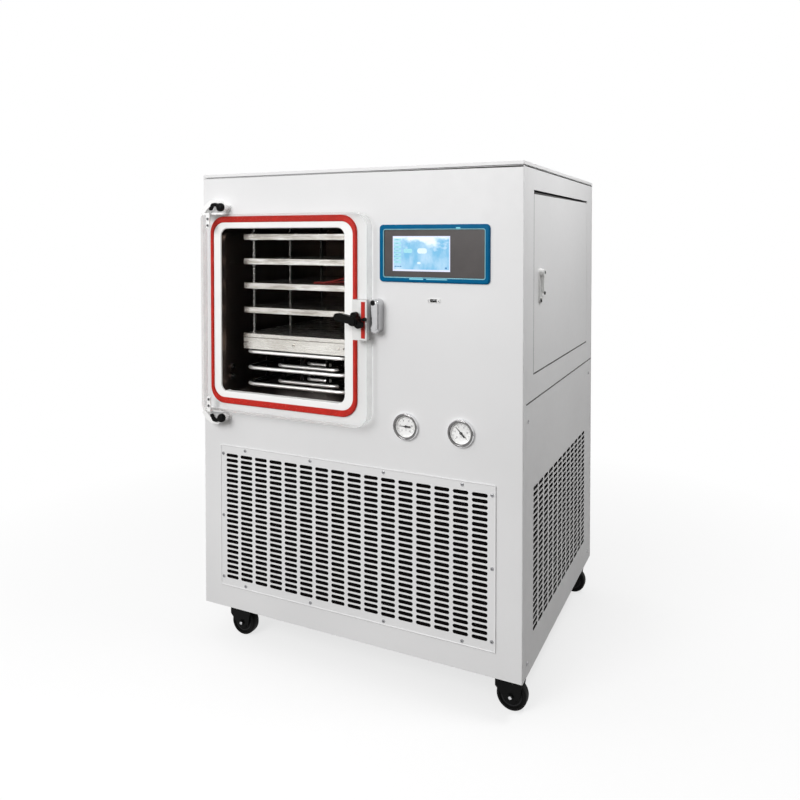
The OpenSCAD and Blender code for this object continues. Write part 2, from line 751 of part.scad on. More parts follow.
// Bends of the upper bracket's arm from the pivot to its end bolt, over the plate's top edge
arm_bends = [[pivot_x, 12.5], [pivot_x + 13, 25], [pivot_x + 27, 33], [pivot_x + 44, 33], [pivot_x + 63, 20]];
arm_r = 7.5;
arm_bolts = [2, 4];    // the bends with a bolt through them
cover_bends = [[pivot_x + 29, 16], [pivot_x + 36, 27], [pivot_x + 47, 28], [pivot_x + 62, 20]];

// Bracket for the upper hinge; the lower one is its mirror image
module hinge_bracket() {
    pin_top = strap_t + seat_gap;
    arm_y = [pivot_y - 7, pivot_y + 7];
    slab_xz(arm_y[0], arm_y[1]) {
        for (i = [0 : len(arm_bends) - 2]) arm_link(arm_bends[i], arm_bends[i + 1], arm_r);
        translate(arm_bends[4]) circle(10.5);
    }
    translate([pivot_x, pivot_y, pin_top]) cylinder(r = 6.5, h = 8);
    translate([pivot_x, pivot_y, 0.3]) cylinder(d = door_pin_d, h = pin_top + 4);
    for (i = arm_bolts) rod_y(arm_bends[i][0], arm_bends[i][1], 6.5, arm_y[1] - 1, 0);
    slab_xz(-4, 0) link(arm_bends[arm_bolts[0]], arm_bends[arm_bolts[1]], 11);
}

// A straight arm, a hair narrower than its two round ends
module arm_link(a, b, r) {
    d = b - a;
    for (p = [a, b]) translate(p) circle(r);
    translate((a + b) / 2) rotate(atan2(d[1], d[0])) square([norm(d), 2 * r - 0.5], center = true);
}

module at_both_hinges() {
    translate([0, 0, door_z1]) children();
    translate([0, 0, door_z0]) mirror([0, 0, 1]) children();
}

module hinge_brackets() color("silver") at_cabinet() at_both_hinges() hinge_bracket();

// Moulded hook and domed cap on the bracket's front face
module hinge_caps() color("black") at_cabinet() at_both_hinges() {
    front = pivot_y - 7;
    slab_xz(front - 6, front) for (i = [0 : len(cover_bends) - 2])
        link(cover_bends[i], cover_bends[i + 1], 4.5);
    translate([arm_bends[4][0], front, arm_bends[4][1]]) rotate([90, 0, 0]) rotate_extrude()
        polygon([[0, 0], [11.5, 0], [12, 3], [11.5, 8], [9, 11.5], [4, 13], [0, 13]]);
}

// Block that fills the front of the notch in the plate's edge and carries the spindle
module latch_housing() color("white") at_cabinet() difference() {
    box([door_x1 - notch_w, door_y0, notch_z0], [door_x1, door_y0 + housing_t, notch_z1]);
    rod_y(latch_x, latch_z, spindle_r + run_fit, door_y0 - eps, door_y0 + housing_t + eps);
    box([door_x1 - 16, door_y0 - eps, notch_z0 + 5], [door_x1 - 5, door_y0 + 1.5, notch_z1 - 5]);
}

module latch_pad() color("firebrick") at_cabinet()
    box([door_x1 - 16, door_y0 - 0.8, notch_z0 + 5], [door_x1 - 5, door_y0 + 1.5, notch_z1 - 5]);

// Turning handle with one long arm and two short lobes
module latch_lever() color("black") at_cabinet() translate([latch_x, 0, latch_z]) {
    hub = [door_y0 - 27, door_y0 - 0.8 - seat_gap];
    arm = [door_y0 - 23, door_y0 - 7];
    rod_y(0, 0, 13, hub[0], hub[1]);
    slab_xz(arm[0], arm[1]) {
        arm_link([-4, 0.5], [-46, 7], 10);
        arm_link([0, 3], [1, 13], 8.5);
        arm_link([3, -2], [14, -10], 9);
    }
    slab_xz(door_y0 - 12, door_y0 - 8) link([0, 2], [25, 3], 2.2);
    rod_y(25, 3, 4.5, door_y0 - 13, door_y0 - 2.5);
    rod_y(0, 0, 9, hub[0] - 3, hub[0] + 1);
}

// Spindle and the tongue that swings behind the keeper's lip; it hangs down at rest
module latch_spindle() color("silver") at_cabinet() translate([latch_x, 0, latch_z]) {
    rod_y(0, 0, spindle_r, door_y0 - 0.8 - seat_gap, tongue_y + tongue_t);
    rod_y(0, 0, 8, door_y0 + housing_t + seat_gap, tongue_y);
    slab_xz(tongue_y, tongue_y + tongue_t)
        link([0, 0], [0, -(tongue_reach - tongue_w / 2)], tongue_w / 2);
}

// Keeper on the front panel: a round-ended hood, open to the left and below for the tongue
module latch_keeper() color("silver") at_cabinet() {
    x1 = keeper_x0 + keeper_w;
    lip = tongue_y - 8;
    difference() {
        slab_xz(lip, 0) translate([keeper_x0 + keeper_w / 2, keeper_z]) rotate(90) slot(keeper_h, keeper_w);
        box([keeper_x0 - eps, tongue_y - 3, keeper_z - keeper_h],
            [x1 - 6, -5, keeper_z + keeper_h / 2 - 14]);
    }
}

// ---------- service door ----------

module service_door() color("gainsboro") at_cabinet() {
    y = [svc_y0 + svc_gap, svc_y1 - svc_gap];
    z = [svc_z0 + svc_gap, svc_z1 - svc_top_gap];
    wall = sheet_t;
    difference() {
        box([body_w - svc_depth, y[0], z[0]], [body_w, y[1], z[1]]);
        box([body_w - svc_depth - eps, y[0] + wall, z[0] + wall],
            [body_w - sheet_t, y[1] - wall, z[1] - wall]);
        rod_x(lock_y, lock_z, 5 + run_fit + 1, body_w - sheet_t - eps, body_w + eps);
    }
    for (ends = [[svc_z0 - sheet_t, z[0]], [z[1], svc_z1 + sheet_t]])
        translate([svc_axis_x, svc_axis_y, ends[0]]) cylinder(r = svc_pin_r, h = ends[1] - ends[0]);
}

lock_plate_l = 86;
lock_plate_w = 22;

// Lock plate on the service door, with its keyway at the lower end
module lock_body() color("silver") at_cabinet() difference() {
    union() {
        slab_yz(body_w, body_w + 4)
            translate([lock_y, lock_z - lock_plate_l / 2 + lock_plate_w / 2]) rotate(90)
                slot(lock_plate_l, lock_plate_w);
        rod_x(lock_y, lock_z - 64, 6, body_w + 4, body_w + 8);
        rod_x(lock_y, lock_z, 9, body_w - sheet_t - 12, body_w - sheet_t);
        rod_x(lock_y, lock_z, 6, body_w - sheet_t, body_w);
    }
    rod_x(lock_y, lock_z, 5 + run_fit, body_w - sheet_t - 12 - eps, body_w + 4 + eps);
    slab_yz(body_w + 5, body_w + 9) translate([lock_y, lock_z - 64]) square([1.6, 7], center = true);
}

// Turning lever with the cam that swings behind the door's jamb
module lock_handle() color("silver") at_cabinet() {
    cam_x = body_w - jamb_depth - seat_gap - 3;
    rod_x(lock_y, lock_z, 5, cam_x, body_w + 4 + seat_gap);
    rod_x(lock_y, lock_z, 10, body_w + 4 + seat_gap, body_w + 13);
    slab_yz(body_w + 7, body_w + 12) link([lock_y, lock_z], [lock_y, lock_z - 46], 4.5);
    slab_yz(cam_x, cam_x + 3) link([lock_y, lock_z], [lock_y, lock_z - 52], 7);
}

// ---------- machine bay ----------

module compressor() color("black") at_cabinet() translate([body_w - 240, 330, base_h]) {
    r = 112;
    can_h = 300;
    foot_h = 22;
    for (q = [0 : 3]) rotate(45 + 90 * q) translate([r + 14, 0, 0]) cylinder(r = 16, h = foot_h);
    for (q = [0, 1]) rotate(45 + 90 * q) translate([-r - 36, -22, foot_h - 1]) cube([2 * r + 72, 44, 5]);
    translate([0, 0, foot_h + 2]) rotate_extrude()
        polygon([[0, 0], [r - 30, 0], [r - 8, 10], [r, 28], [r, can_h - 60], [r - 6, can_h - 40],
                 [r - 30, can_h - 14], [r - 60, can_h], [0, can_h]]);
    translate([-30, -r - 28, foot_h + 130]) cube([60, 40, 70]);
    translate([0, 62, foot_h + can_h - 40]) cylinder(r = 8, h = 64);
    translate([-62, 0, foot_h + can_h - 40]) cylinder(r = 6, h = 56);
}

hx_x = [70, 500];
hx_y = [14, 92];
hx_z = [base_h, base_h + 410];
fan_r = 165;
fan_x = (hx_x[0] + hx_x[1]) / 2;
fan_z = (hx_z[0] + hx_z[1]) / 2;
fan_y = 118;
fan_shaft_r = 6;

// Finned condenser with its tube bank, shroud ring, and the fan's motor on two struts
module heat_exchanger() color("darkgray") at_cabinet() {
    plate = 2;
    fins = 30;
    ring_d = 76;
    for (x = [hx_x[0], hx_x[1] - plate]) box([x, hx_y[0], hx_z[0]], [x + plate, hx_y[1], hx_z[1]]);
    for (z = [hx_z[0], hx_z[1] - plate])
        box([hx_x[0] + plate, hx_y[0], z], [hx_x[1] - plate, hx_y[1], z + plate]);
    for (k = [1 : fins]) {
        x = hx_x[0] + (hx_x[1] - hx_x[0]) * k / (fins + 1);
        box([x - 0.4, hx_y[0] + 4, hx_z[0] + plate], [x + 0.4, hx_y[1] - 4, hx_z[1] - plate]);
    }
    slab_xz(hx_y[1] - 2, hx_y[1]) difference() {
        box2([hx_x[0], hx_z[0]], [hx_x[1], hx_z[1]]);
        translate([fan_x, fan_z]) circle(fan_r + 9, $fn = 96);
    }
    for (row = [1 : 7]) rod_x(hx_y[0] + (hx_y[1] - hx_y[0]) / 2, hx_z[0] + 51 * row, 6, hx_x[0], hx_x[1]);
    translate([fan_x, 0, fan_z]) {
        difference() {
            slab_xz(hx_y[1], hx_y[1] + ring_d) circle(fan_r + 12, $fn = 96);
            slab_xz(hx_y[1] - eps, hx_y[1] + ring_d + eps) circle(fan_r + 9, $fn = 96);
        }
        for (z = [-30, 30]) difference() {
            slab_xz(hx_y[1] + ring_d - 6, hx_y[1] + ring_d)
                translate([0, z]) square([2 * fan_r + 20, 14], center = true);
            slab_xz(hx_y[1] + ring_d - 7, hx_y[1] + ring_d + 1) circle(50);
        }
        slab_xz(fan_y + 44, fan_y + 110) circle(52);
        slab_xz(fan_y + 6, fan_y + 44) circle(fan_shaft_r);
    }
}

// Fan rotor: a hub cup and pitched blades, on the motor's shaft
module condenser_fan() color("dimgray") at_cabinet() translate([fan_x, fan_y, fan_z]) rotate([-90, 0, 0]) {
    hub_r = 45;
    blades = 5;
    difference() {
        cylinder(r = hub_r, h = 40);
        translate([0, 0, 4]) cylinder(r = hub_r - 4, h = 40);
    }
    difference() {
        cylinder(r = 14, h = 38);
        translate([0, 0, 5]) cylinder(r = fan_shaft_r + run_fit, h = 40);
    }
    for (b = [0 : blades - 1]) rotate(b * 360 / blades)
        translate([hub_r - 3, 0, 20]) rotate([28, 0, 0]) translate([0, -34, -1.2])
            linear_extrude(2.4) polygon([[0, 10], [0, 58], [60, 68], [fan_r - hub_r, 62],
                                         [fan_r - hub_r - 4, 30], [fan_r - hub_r - 24, 4], [50, 0]]);
}

// Electrical plate that stands on the deck beside the chamber, with its rails and modules
module control_plate() color("lightgray") at_cabinet() {
    x = body_w - 330;
    z = machine_bay_h;
    y = [130, body_d - 150];
    box([x, y[0], z], [x + 3, y[1], z + 590]);
    box([x + 3, y[0], z], [x + 50, y[1], z + 3]);
    for (rail = [250, 400, 530]) box([x + 3, y[0] + 20, z + rail], [x + 11, y[1] - 20, z + rail + 35]);
    for (k = [0 : 3]) box([x + 11, y[0] + 40 + 95 * k, z + 225], [x + 85, y[0] + 118 + 95 * k, z + 310]);
    for (k = [0 : 8]) box([x + 11, y[0] + 50 + 36 * k, z + 375], [x + 70, y[0] + 84 + 36 * k, z + 460]);
    box([x + 11, y[0] + 60, z + 500], [x + 100, y[0] + 280, z + 585]);
    box([x + 3, y[0] + 40, z + 40], [x + 110, y[0] + 180, z + 160]);
}

// ---------- rear connections ----------

// Pump pipe from the chamber's back wall, with a clamp flange outside
module vacuum_port() color("silver") at_cabinet() translate([port_x, 0, port_z]) {
    y0 = chamber_y1 + back_t;
    y1 = body_d + port_out;
    difference() {
        union() {
            rod_y(0, 0, port_r, y0, y1);
            rod_y(0, 0, port_r + 6, y0, y0 + 5);
            translate([0, y1, 0]) rotate([90, 0, 0])
                rotate_extrude() polygon([[0, 0], [port_flange_r, 0], [port_flange_r, 3],
                                          [port_r, 10], [0, 10]]);
        }
        rod_y(0, 0, port_r - port_wall, y0 - eps, y1 + eps);
    }
}

// Cable gland for the supply lead
module power_inlet() color("black") at_cabinet() translate([inlet_x, body_d, inlet_z]) rotate([-90, 0, 0]) {
    difference() {
        union() {
            translate([0, 0, -sheet_t - 14]) cylinder(r = 12, h = sheet_t + 14);
            cylinder(r = 16, h = 9, $fn = 6);
            translate([0, 0, 9]) rotate_extrude() polygon([[0, 0], [14, 0], [14, 10], [9, 22], [0, 22]]);
            translate([0, 0, -sheet_t - 6]) cylinder(r = 16, h = 6, $fn = 6);
        }
        translate([0, 0, -sheet_t - 20]) cylinder(r = 6, h = 60);
    }
}

// Drain pipe from the chamber's floor to a hose barb at the back
module drain_port() color("silver") at_cabinet() {
    floor_z = chamber_z - out_h / 2;
    y1 = body_d + 42;
    bore = drain_r - 4;
    difference() {
        union() {
            translate([chamber_x, drain_y, drain_z]) cylinder(r = drain_r, h = floor_z - drain_z);
            translate([chamber_x, drain_y, drain_z]) sphere(r = drain_r);
            rod_y(chamber_x, drain_z, drain_r, drain_y, y1 - 30);
            translate([chamber_x, y1 - 31, drain_z]) rotate([-90, 0, 0]) rotate_extrude()
                polygon([[0, 0], [6, 0], [6, 7], [8, 7], [6, 13], [8, 13], [6, 19], [8, 19],
                         [6, 31], [0, 31]]);
        }
        translate([chamber_x, drain_y, drain_z]) cylinder(r = bore, h = floor_z - drain_z + eps);
        rod_y(chamber_x, drain_z, bore - 0.5, drain_y, y1 + eps);
    }
}

// ---------- casters ----------

corner_x = [for (x = caster_x) x - body_w / 2];
corner_y = [for (y = caster_y) y - body_d / 2];

// Top plate and bearing housing, which stay with the cabinet
module caster_plates() color("silver") for (x = corner_x, y = corner_y) translate([x, y, 0])
    difference() {
        union() {
            slab_xy(caster_h - caster_plate_t, caster_h) rounded(78, 64, 6);
            translate([0, 0, caster_h - caster_plate_t - race_h]) rotate_extrude()
                polygon([[0, 0], [race_r - 3, 0], [race_r, 3], [race_r, race_h], [0, race_h]]);
        }
        translate([0, 0, caster_h - caster_plate_t - race_h - eps])
            cylinder(r = 6 + run_fit, h = race_h - 1 + eps);
    }

// Swivelling fork with its king pin and axle; the wheel trails towards +X
module caster_fork(i, j) color("black") translate([corner_x[i], corner_y[j], 0]) {
    crown_top = caster_h - caster_plate_t - race_h - seat_gap;
    axle_z = wheel_d / 2;
    leg_y = fork_gap / 2;
    translate([0, 0, crown_top - fork_t]) cylinder(r = race_r, h = fork_t);
    translate([0, 0, crown_top]) cylinder(r = 6, h = race_h - 2);
    box([0, -leg_y - fork_t, crown_top - fork_t], [caster_trail + 16, leg_y + fork_t, crown_top]);
    for (s = [-1, 1]) {
        y = s > 0 ? leg_y : -leg_y - fork_t;
        slab_xz(y, y + fork_t) {
            polygon([[-9, crown_top], [caster_trail + 16, crown_top], [caster_trail + 28, crown_top - 14],
                     [caster_trail + 22, axle_z - 4], [caster_trail - 16, axle_z - 6], [-9, crown_top - 26]]);
            translate([caster_trail, axle_z]) circle(15);
        }
    }
    rod_y(caster_trail, axle_z, axle_r, -leg_y - fork_t - 3, leg_y + fork_t + 3);
    for (s = [-1, 1]) translate([caster_trail, s * (leg_y + fork_t + 2), axle_z]) rotate([90, 0, 0])
        cylinder(r = 8, h = 4, center = true, $fn = 6);
}

module caster_fork_fl() caster_fork(0, 0);
module caster_fork_fr() caster_fork(1, 0);
module caster_fork_rl() caster_fork(0, 1);
module caster_fork_rr() caster_fork(1, 1);

// Wheel with a crowned tread and recessed sides, bored for the axle
module caster_wheel(i, j) color("black")
    translate([corner_x[i] + caster_trail, corner_y[j], wheel_d / 2]) rotate([90, 0, 0]) rotate_extrude() {
        r = wheel_d / 2;
        w = wheel_w / 2;
        bore = axle_r + run_fit;
        polygon([[bore, -w - 1.5], [12, -w - 1.5], [12, -w + 3], [r - 9, -w + 3], [r - 8, -w],
                 [r - 3, -w], [r - 0.8, -w + 3], [r, -w + 8], [r, w - 8], [r - 0.8, w - 3],
                 [r - 3, w], [r - 8, w], [r - 9, w - 3], [12, w - 3], [12, w + 1.5], [bore, w + 1.5]]);
    }

module caster_wheel_fl() caster_wheel(0, 0);
module caster_wheel_fr() caster_wheel(1, 0);
module caster_wheel_rl() caster_wheel(0, 1);
module caster_wheel_rr() caster_wheel(1, 1);

base_frame();
corner_posts();
mid_deck();
front_panel();
front_grille();
panel_screws();
left_upper_panel();
left_lower_panel();
right_upper_panel();
right_lower_panel();
rear_panel();
top_lid();
chamber_shell();
chamber_flange();
door_gasket();
shelf_top();
shelf_1();
shelf_2();
shelf_3();
shelf_base();
shelf_rods();
condenser_coil();
probe_cables();
hmi_bezel();
hmi_plate();
hmi_screen();
gauge_cases();
gauge_dials();
gauge_lenses();
gauge_needle_1();
gauge_needle_2();
usb_socket();
hinge_brackets();
hinge_caps();
latch_keeper();
compressor();
heat_exchanger();
condenser_fan();
control_plate();
vacuum_port();
power_inlet();
drain_port();
door_plate();
hinge_straps();
latch_housing();
latch_pad();
latch_lever();
latch_spindle();
service_door();
lock_body();
lock_handle();
caster_plates();
caster_fork_fl();
caster_fork_fr();
caster_fork_rl();
caster_fork_rr();
caster_wheel_fl();
caster_wheel_fr();
caster_wheel_rl();
caster_wheel_rr();
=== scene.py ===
"""Looks of the freeze dryer: a finish for every CAD node, and the printed, moulded and metal details on them.

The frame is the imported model's: +Z up, the front faces -Y, the floor is at Z = 0.
Places are in metres, as the frame gives them. The sizes of details, and how far they stand out of a
face, are in millimetres.
"""

import json
import math

import bmesh
import bpy
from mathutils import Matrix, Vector


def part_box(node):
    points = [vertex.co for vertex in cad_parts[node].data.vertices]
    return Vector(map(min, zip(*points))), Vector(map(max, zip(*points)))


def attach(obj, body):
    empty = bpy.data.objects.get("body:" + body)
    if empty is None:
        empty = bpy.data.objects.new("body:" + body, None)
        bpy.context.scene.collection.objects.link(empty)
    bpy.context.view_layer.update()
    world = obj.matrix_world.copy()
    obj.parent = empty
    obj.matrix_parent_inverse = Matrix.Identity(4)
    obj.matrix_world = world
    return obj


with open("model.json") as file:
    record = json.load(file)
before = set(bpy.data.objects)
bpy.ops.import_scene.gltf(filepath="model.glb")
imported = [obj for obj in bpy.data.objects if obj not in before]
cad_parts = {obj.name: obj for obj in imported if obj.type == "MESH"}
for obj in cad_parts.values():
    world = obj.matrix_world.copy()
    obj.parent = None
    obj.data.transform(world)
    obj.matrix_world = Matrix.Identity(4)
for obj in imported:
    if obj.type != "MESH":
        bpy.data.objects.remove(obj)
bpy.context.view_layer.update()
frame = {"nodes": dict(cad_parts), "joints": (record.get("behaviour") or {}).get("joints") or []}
nodes = frame["nodes"]
MM = 0.001
X, Y, Z = range(3)


# ---------- node trees ----------


class Nodes:
    """The node tree of a material or world, and short calls that add nodes to it."""

    def __init__(self, owner):
        owner.use_nodes = True
        self.tree = owner.node_tree
        self.tree.nodes.clear()

    def add(self, kind, **settings):
        node = self.tree.nodes.new(kind)
        for key, value in settings.items():
            setattr(node, key, value)
        return node

    def link(self, start, end):
        self.tree.links.new(start, end)

    def feed(self, socket, value):
        """Gives an input its fixed value, or the output that drives it."""
        if isinstance(value, bpy.types.NodeSocket):
            self.link(value, socket)
        else:
            socket.default_value = value

    def compute(self, operation, *values, clamp=False):
        node = self.add("ShaderNodeMath", operation=operation, use_clamp=clamp)
        for socket, value in zip(node.inputs, values):
            self.feed(socket, value)
        return node.outputs[0]

    def choose(self, factor, first, second):
        """The first shader where the factor is 0, and the second where it is 1."""
        node = self.add("ShaderNodeMixShader")
        for socket, value in zip(node.inputs, (factor, first, second)):
            self.link(value, socket)
        return node.outputs[0]

    def seen_directly(self):
        """1 for rays from the camera, gloss or glass, and 0 for the rest, which carry the light it gives."""
        path = self.add("ShaderNodeLightPath").outputs
        shown = self.compute("MAXIMUM", path["Is Camera Ray"], path["Is Glossy Ray"])
        return self.compute("MAXIMUM", shown, path["Is Transmission Ray"])


class Shader(Nodes):
    """A material with one Principled shader; base_color=... sets its Base Color socket, and so on."""

    def __init__(self, name, **values):
        self.material = bpy.data.materials.new(name)
        super().__init__(self.material)
        self.surface = self.add("ShaderNodeBsdfPrincipled")
        self.output = self.add("ShaderNodeOutputMaterial")
        self.show(self.surface.outputs[0])
        for key, value in values.items():
            words = [w if w == "IOR" else w.capitalize() for w in key.split("_")]
            self.surface.inputs[" ".join(words)].default_value = value

    def show(self, shader):
        self.link(shader, self.output.inputs["Surface"])

    def drive(self, socket, value):
        self.link(value, self.surface.inputs[socket])

    def place(self, stretch=(1, 1, 1)):
        """The piece's own coordinates in metres, stretched along each axis."""
        mapping = self.add("ShaderNodeMapping")
        mapping.inputs["Scale"].default_value = stretch
        self.link(self.add("ShaderNodeTexCoord").outputs["Object"], mapping.inputs["Vector"])
        return mapping.outputs[0]

    def noise(self, scale, stretch=(1, 1, 1), detail=2.0, roughness=0.5):
        node = self.add("ShaderNodeTexNoise")
        node.inputs["Scale"].default_value = scale
        node.inputs["Detail"].default_value = detail
        node.inputs["Roughness"].default_value = roughness
        self.link(self.place(stretch), node.inputs["Vector"])
        return node.outputs[0]

    def ramp(self, factor, *stops):
        """A colour ramp: stops are (position, colour) pairs."""
        node = self.add("ShaderNodeValToRGB")
        elements = node.color_ramp.elements
        while len(elements) < len(stops):
            elements.new(1.0)
        for element, (position, colour) in zip(elements, stops):
            element.position = position
            element.color = (*colour, 1.0)
        self.link(factor, node.inputs[0])
        return node.outputs[0]

    def span(self, value, low, high, out_low, out_high):
        """Maps low..high to out_low..out_high and holds the ends."""
        node = self.add("ShaderNodeMapRange")
        for socket, number in zip(node.inputs, (value, low, high, out_low, out_high)):
            self.feed(socket, number)
        return node.outputs[0]

    def mix(self, factor, first, second):
        """Mixes two colours; a tuple is a fixed colour and a socket a driven one."""
        node = self.add("ShaderNodeMix", data_type="RGBA")
        self.link(factor, node.inputs[0])
        for socket, colour in ((node.inputs[6], first), (node.inputs[7], second)):
            self.feed(socket, (*colour, 1.0) if isinstance(colour, tuple) else colour)
        return node.outputs[2]

    def bump(self, height, depth, strength, edge):
        """Bumps of a depth in millimetres, on edges rounded by a radius in millimetres."""
        bevel = self.add("ShaderNodeBevel", samples=4)
        bevel.inputs["Radius"].default_value = edge * MM
        node = self.add("ShaderNodeBump")
        node.inputs["Distance"].default_value = depth * MM
        node.inputs["Strength"].default_value = strength
        self.link(height, node.inputs["Height"])
        self.link(bevel.outputs[0], node.inputs["Normal"])
        self.drive("Normal", node.outputs[0])

    def grain(self, fine, low, high, rough, depth, strength, edge):
        """One fine noise as the surface's roughness and as its bumps."""
        self.drive("Roughness", self.span(fine, low, high, *rough))
        self.bump(fine, depth, strength, edge)


def scaled(colour, factor):
    return tuple(c * factor for c in colour)


# ---------- kinds of material ----------


def powder_coat(name, colour, edge=0.8):
    """Powder-coated sheet: slight orange peel, faint broad clouds in its colour, rounded folds."""
    m = Shader(name, specular_IOR_level=0.45)
    tint = m.ramp(m.noise(2.2, detail=4.0), (0.35, scaled(colour, 0.965)), (0.65, scaled(colour, 1.02)))
    specks = m.span(m.noise(900, detail=1.0), 0.62, 0.74, 0.0, 0.10)
    m.drive("Base Color", m.mix(specks, tint, scaled(colour, 0.72)))
    m.drive("Roughness", m.span(m.noise(60, detail=3.0), 0.3, 0.7, 0.36, 0.50))
    m.bump(m.noise(420, detail=2.0, roughness=0.6), 0.05, 0.35, edge)
    return m.material


def bare_metal(name, colour, rough=(0.16, 0.30), grain=(1, 1, 1), scale=90, depth=0.012, edge=0.5,
               metallic=1.0, stain=None, blotch=9, streak=(1, 1, 1)):
    """Stainless or plated metal: fine grain along the axis with the smallest stretch, and smudges."""
    m = Shader(name, metallic=metallic)
    smudges = m.noise(blotch, streak, detail=5.0, roughness=0.6)
    m.drive("Base Color", m.ramp(smudges, (0.36, stain or scaled(colour, 0.86)), (0.60, colour)))
    m.grain(m.noise(scale, grain, detail=4.0, roughness=0.65), 0.25, 0.75, rough, depth, 0.5, edge)
    return m.material


def moulded(name, colour, rough=(0.30, 0.42), shine=0.4, grain=1300, alpha=1.0):
    """Moulded plastic: an even spark-eroded grain and soft edges that catch light."""
    m = Shader(name, specular_IOR_level=shine, alpha=alpha)
    clouds = m.noise(25, detail=3.0)
    m.drive("Base Color", m.ramp(clouds, (0.3, scaled(colour, 0.9)), (0.7, scaled(colour, 1.08))))
    m.grain(m.noise(grain, detail=1.0), 0.3, 0.7, rough, 0.03, 0.3, edge=0.7)
    return m.material


def rubber(name, colour, rough=(0.46, 0.62), scale=260, shine=0.2):
    """Silicone or tyre rubber: a dull sheen with fine dust and moulding texture."""
    m = Shader(name, specular_IOR_level=shine)
    dust = m.noise(40, detail=5.0, roughness=0.7)
    m.drive("Base Color", m.ramp(dust, (0.35, scaled(colour, 0.85)), (0.75, scaled(colour, 1.15))))
    m.grain(m.noise(scale, detail=3.0), 0.3, 0.7, rough, 0.06, 0.4, edge=1.0)
    return m.material


def clear(name, colour, IOR, shine=1.0):
    """Glass or acrylic that bends what is seen through it, but lets the lamps' light straight in."""
    m = Shader(name, base_color=(*colour, 1.0), transmission_weight=1.0, IOR=IOR, roughness=0.0,
               specular_tint=(shine, shine, shine, 1.0))
    open_way = m.add("ShaderNodeBsdfTransparent")
    open_way.inputs[0].default_value = (*colour, 1.0)
    path = m.add("ShaderNodeLightPath").outputs
    straight = m.compute("MAXIMUM", path["Is Shadow Ray"], path["Is Diffuse Ray"])
    m.show(m.choose(straight, m.surface.outputs[0], open_way.outputs[0]))
    return m.material


def print_ink(name, colour):
    """Printed ink: nearly flat in colour, a little glossier where it lies thick."""
    m = Shader(name, specular_IOR_level=0.3)
    patches = m.noise(800, detail=2.0)
    m.drive("Base Color", m.ramp(patches, (0.3, scaled(colour, 0.85)), (0.7, scaled(colour, 1.1))))
    m.drive("Roughness", m.span(patches, 0.3, 0.7, 0.35, 0.55))
    return m.material


def lit(name, colour, strength=1.0):
    """A lit patch in one colour, with a display's faint unevenness."""
    m = Shader(name, roughness=0.08, specular_IOR_level=0.5, emission_strength=strength)
    cells = m.noise(300, detail=1.0)
    m.drive("Emission Color", m.ramp(cells, (0.3, scaled(colour, 0.94)), (0.7, colour)))
    m.drive("Base Color", m.ramp(cells, (0.3, scaled(colour, 0.15)), (0.7, scaled(colour, 0.2))))
    return m.material


def lit_screen(name, low, high, sky, cloud):
    """A lit display: a soft white cloud along its top edge, thinner haze below it and blue sky between."""
    m = Shader(name, roughness=0.08, specular_IOR_level=0.5, emission_strength=1.0)
    split = m.add("ShaderNodeSeparateXYZ")
    m.link(m.place(), split.inputs[0])
    height = m.span(split.outputs["Z"], low, high, 0.0, 1.0)
    ragged = m.compute("MULTIPLY_ADD", m.noise(26, (1, 1, 1.5), detail=3.0), 1.3, height)
    cover = m.span(ragged, 1.38, 1.62, 0.0, 1.0)
    haze = m.span(m.noise(16, (1.6, 1, 1), detail=4.0), 0.40, 0.66, 0.0, 0.62)
    m.drive("Emission Color", m.mix(cover, m.mix(haze, sky, cloud), cloud))
    m.drive("Base Color", m.mix(cover, scaled(sky, 0.2), scaled(cloud, 0.2)))
    return m.material


# ---------- materials ----------

panel = powder_coat("panel_coat", (0.80, 0.80, 0.805))
rim = powder_coat("rim_coat", (0.95, 0.95, 0.945))
frame_coat = powder_coat("frame_coat", (0.06, 0.062, 0.065))
black_coat = powder_coat("black_coat", (0.008, 0.008, 0.008))

zinc = bare_metal("zinc", (0.62, 0.63, 0.64), (0.28, 0.45), scale=60)
shelf_steel = bare_metal("shelf_steel", (0.69, 0.67, 0.64), (0.16, 0.30), (1, 26, 26), 14,
                         stain=(0.38, 0.35, 0.31), streak=(1, 5, 7))
tray_steel = bare_metal("tray_steel", (0.70, 0.68, 0.645), (0.20, 0.34), (1, 14, 14), 14,
                        stain=(0.53, 0.50, 0.46), blotch=5, streak=(1, 1, 1.5))
coil_steel = bare_metal("coil_steel", (0.92, 0.91, 0.89), (0.26, 0.38), scale=120, metallic=0.75)
plating = bare_metal("plating", (0.60, 0.60, 0.61), (0.14, 0.24), scale=200)
# painted shade: a near-black steel for the dark inside of the chamber
chamber_shade_steel = bare_metal("chamber_shade_steel", (0.13, 0.095, 0.080), (0.26, 0.36), (1, 1, 4), 6, depth=0.004, edge=2)
# painted reflection: a dark steel for the dark reflections in the gauges' chrome bezels
bezel_dark_reflection = bare_metal("bezel_dark_reflection", (0.20, 0.195, 0.195), (0.08, 0.16), scale=200, depth=0.004)
copper = bare_metal("copper", (0.62, 0.27, 0.15), (0.22, 0.36), scale=120, stain=(0.30, 0.12, 0.07))
fin_metal = bare_metal("fin_metal", (0.55, 0.56, 0.57), (0.30, 0.45), scale=160)
rod_steel = bare_metal("rod_steel", (0.17, 0.165, 0.16), (0.20, 0.32), scale=60)
shade_steel = bare_metal("shade_steel", (0.045, 0.042, 0.040), (0.25, 0.35), scale=60)
chrome = bare_metal("chrome", (0.82, 0.82, 0.83), (0.04, 0.10), scale=200, depth=0.004)
aluminium = bare_metal("aluminium", (0.70, 0.71, 0.72), (0.25, 0.40), scale=80)
screw_steel = bare_metal("screw_steel", (0.34, 0.34, 0.35), (0.25, 0.40), scale=300)

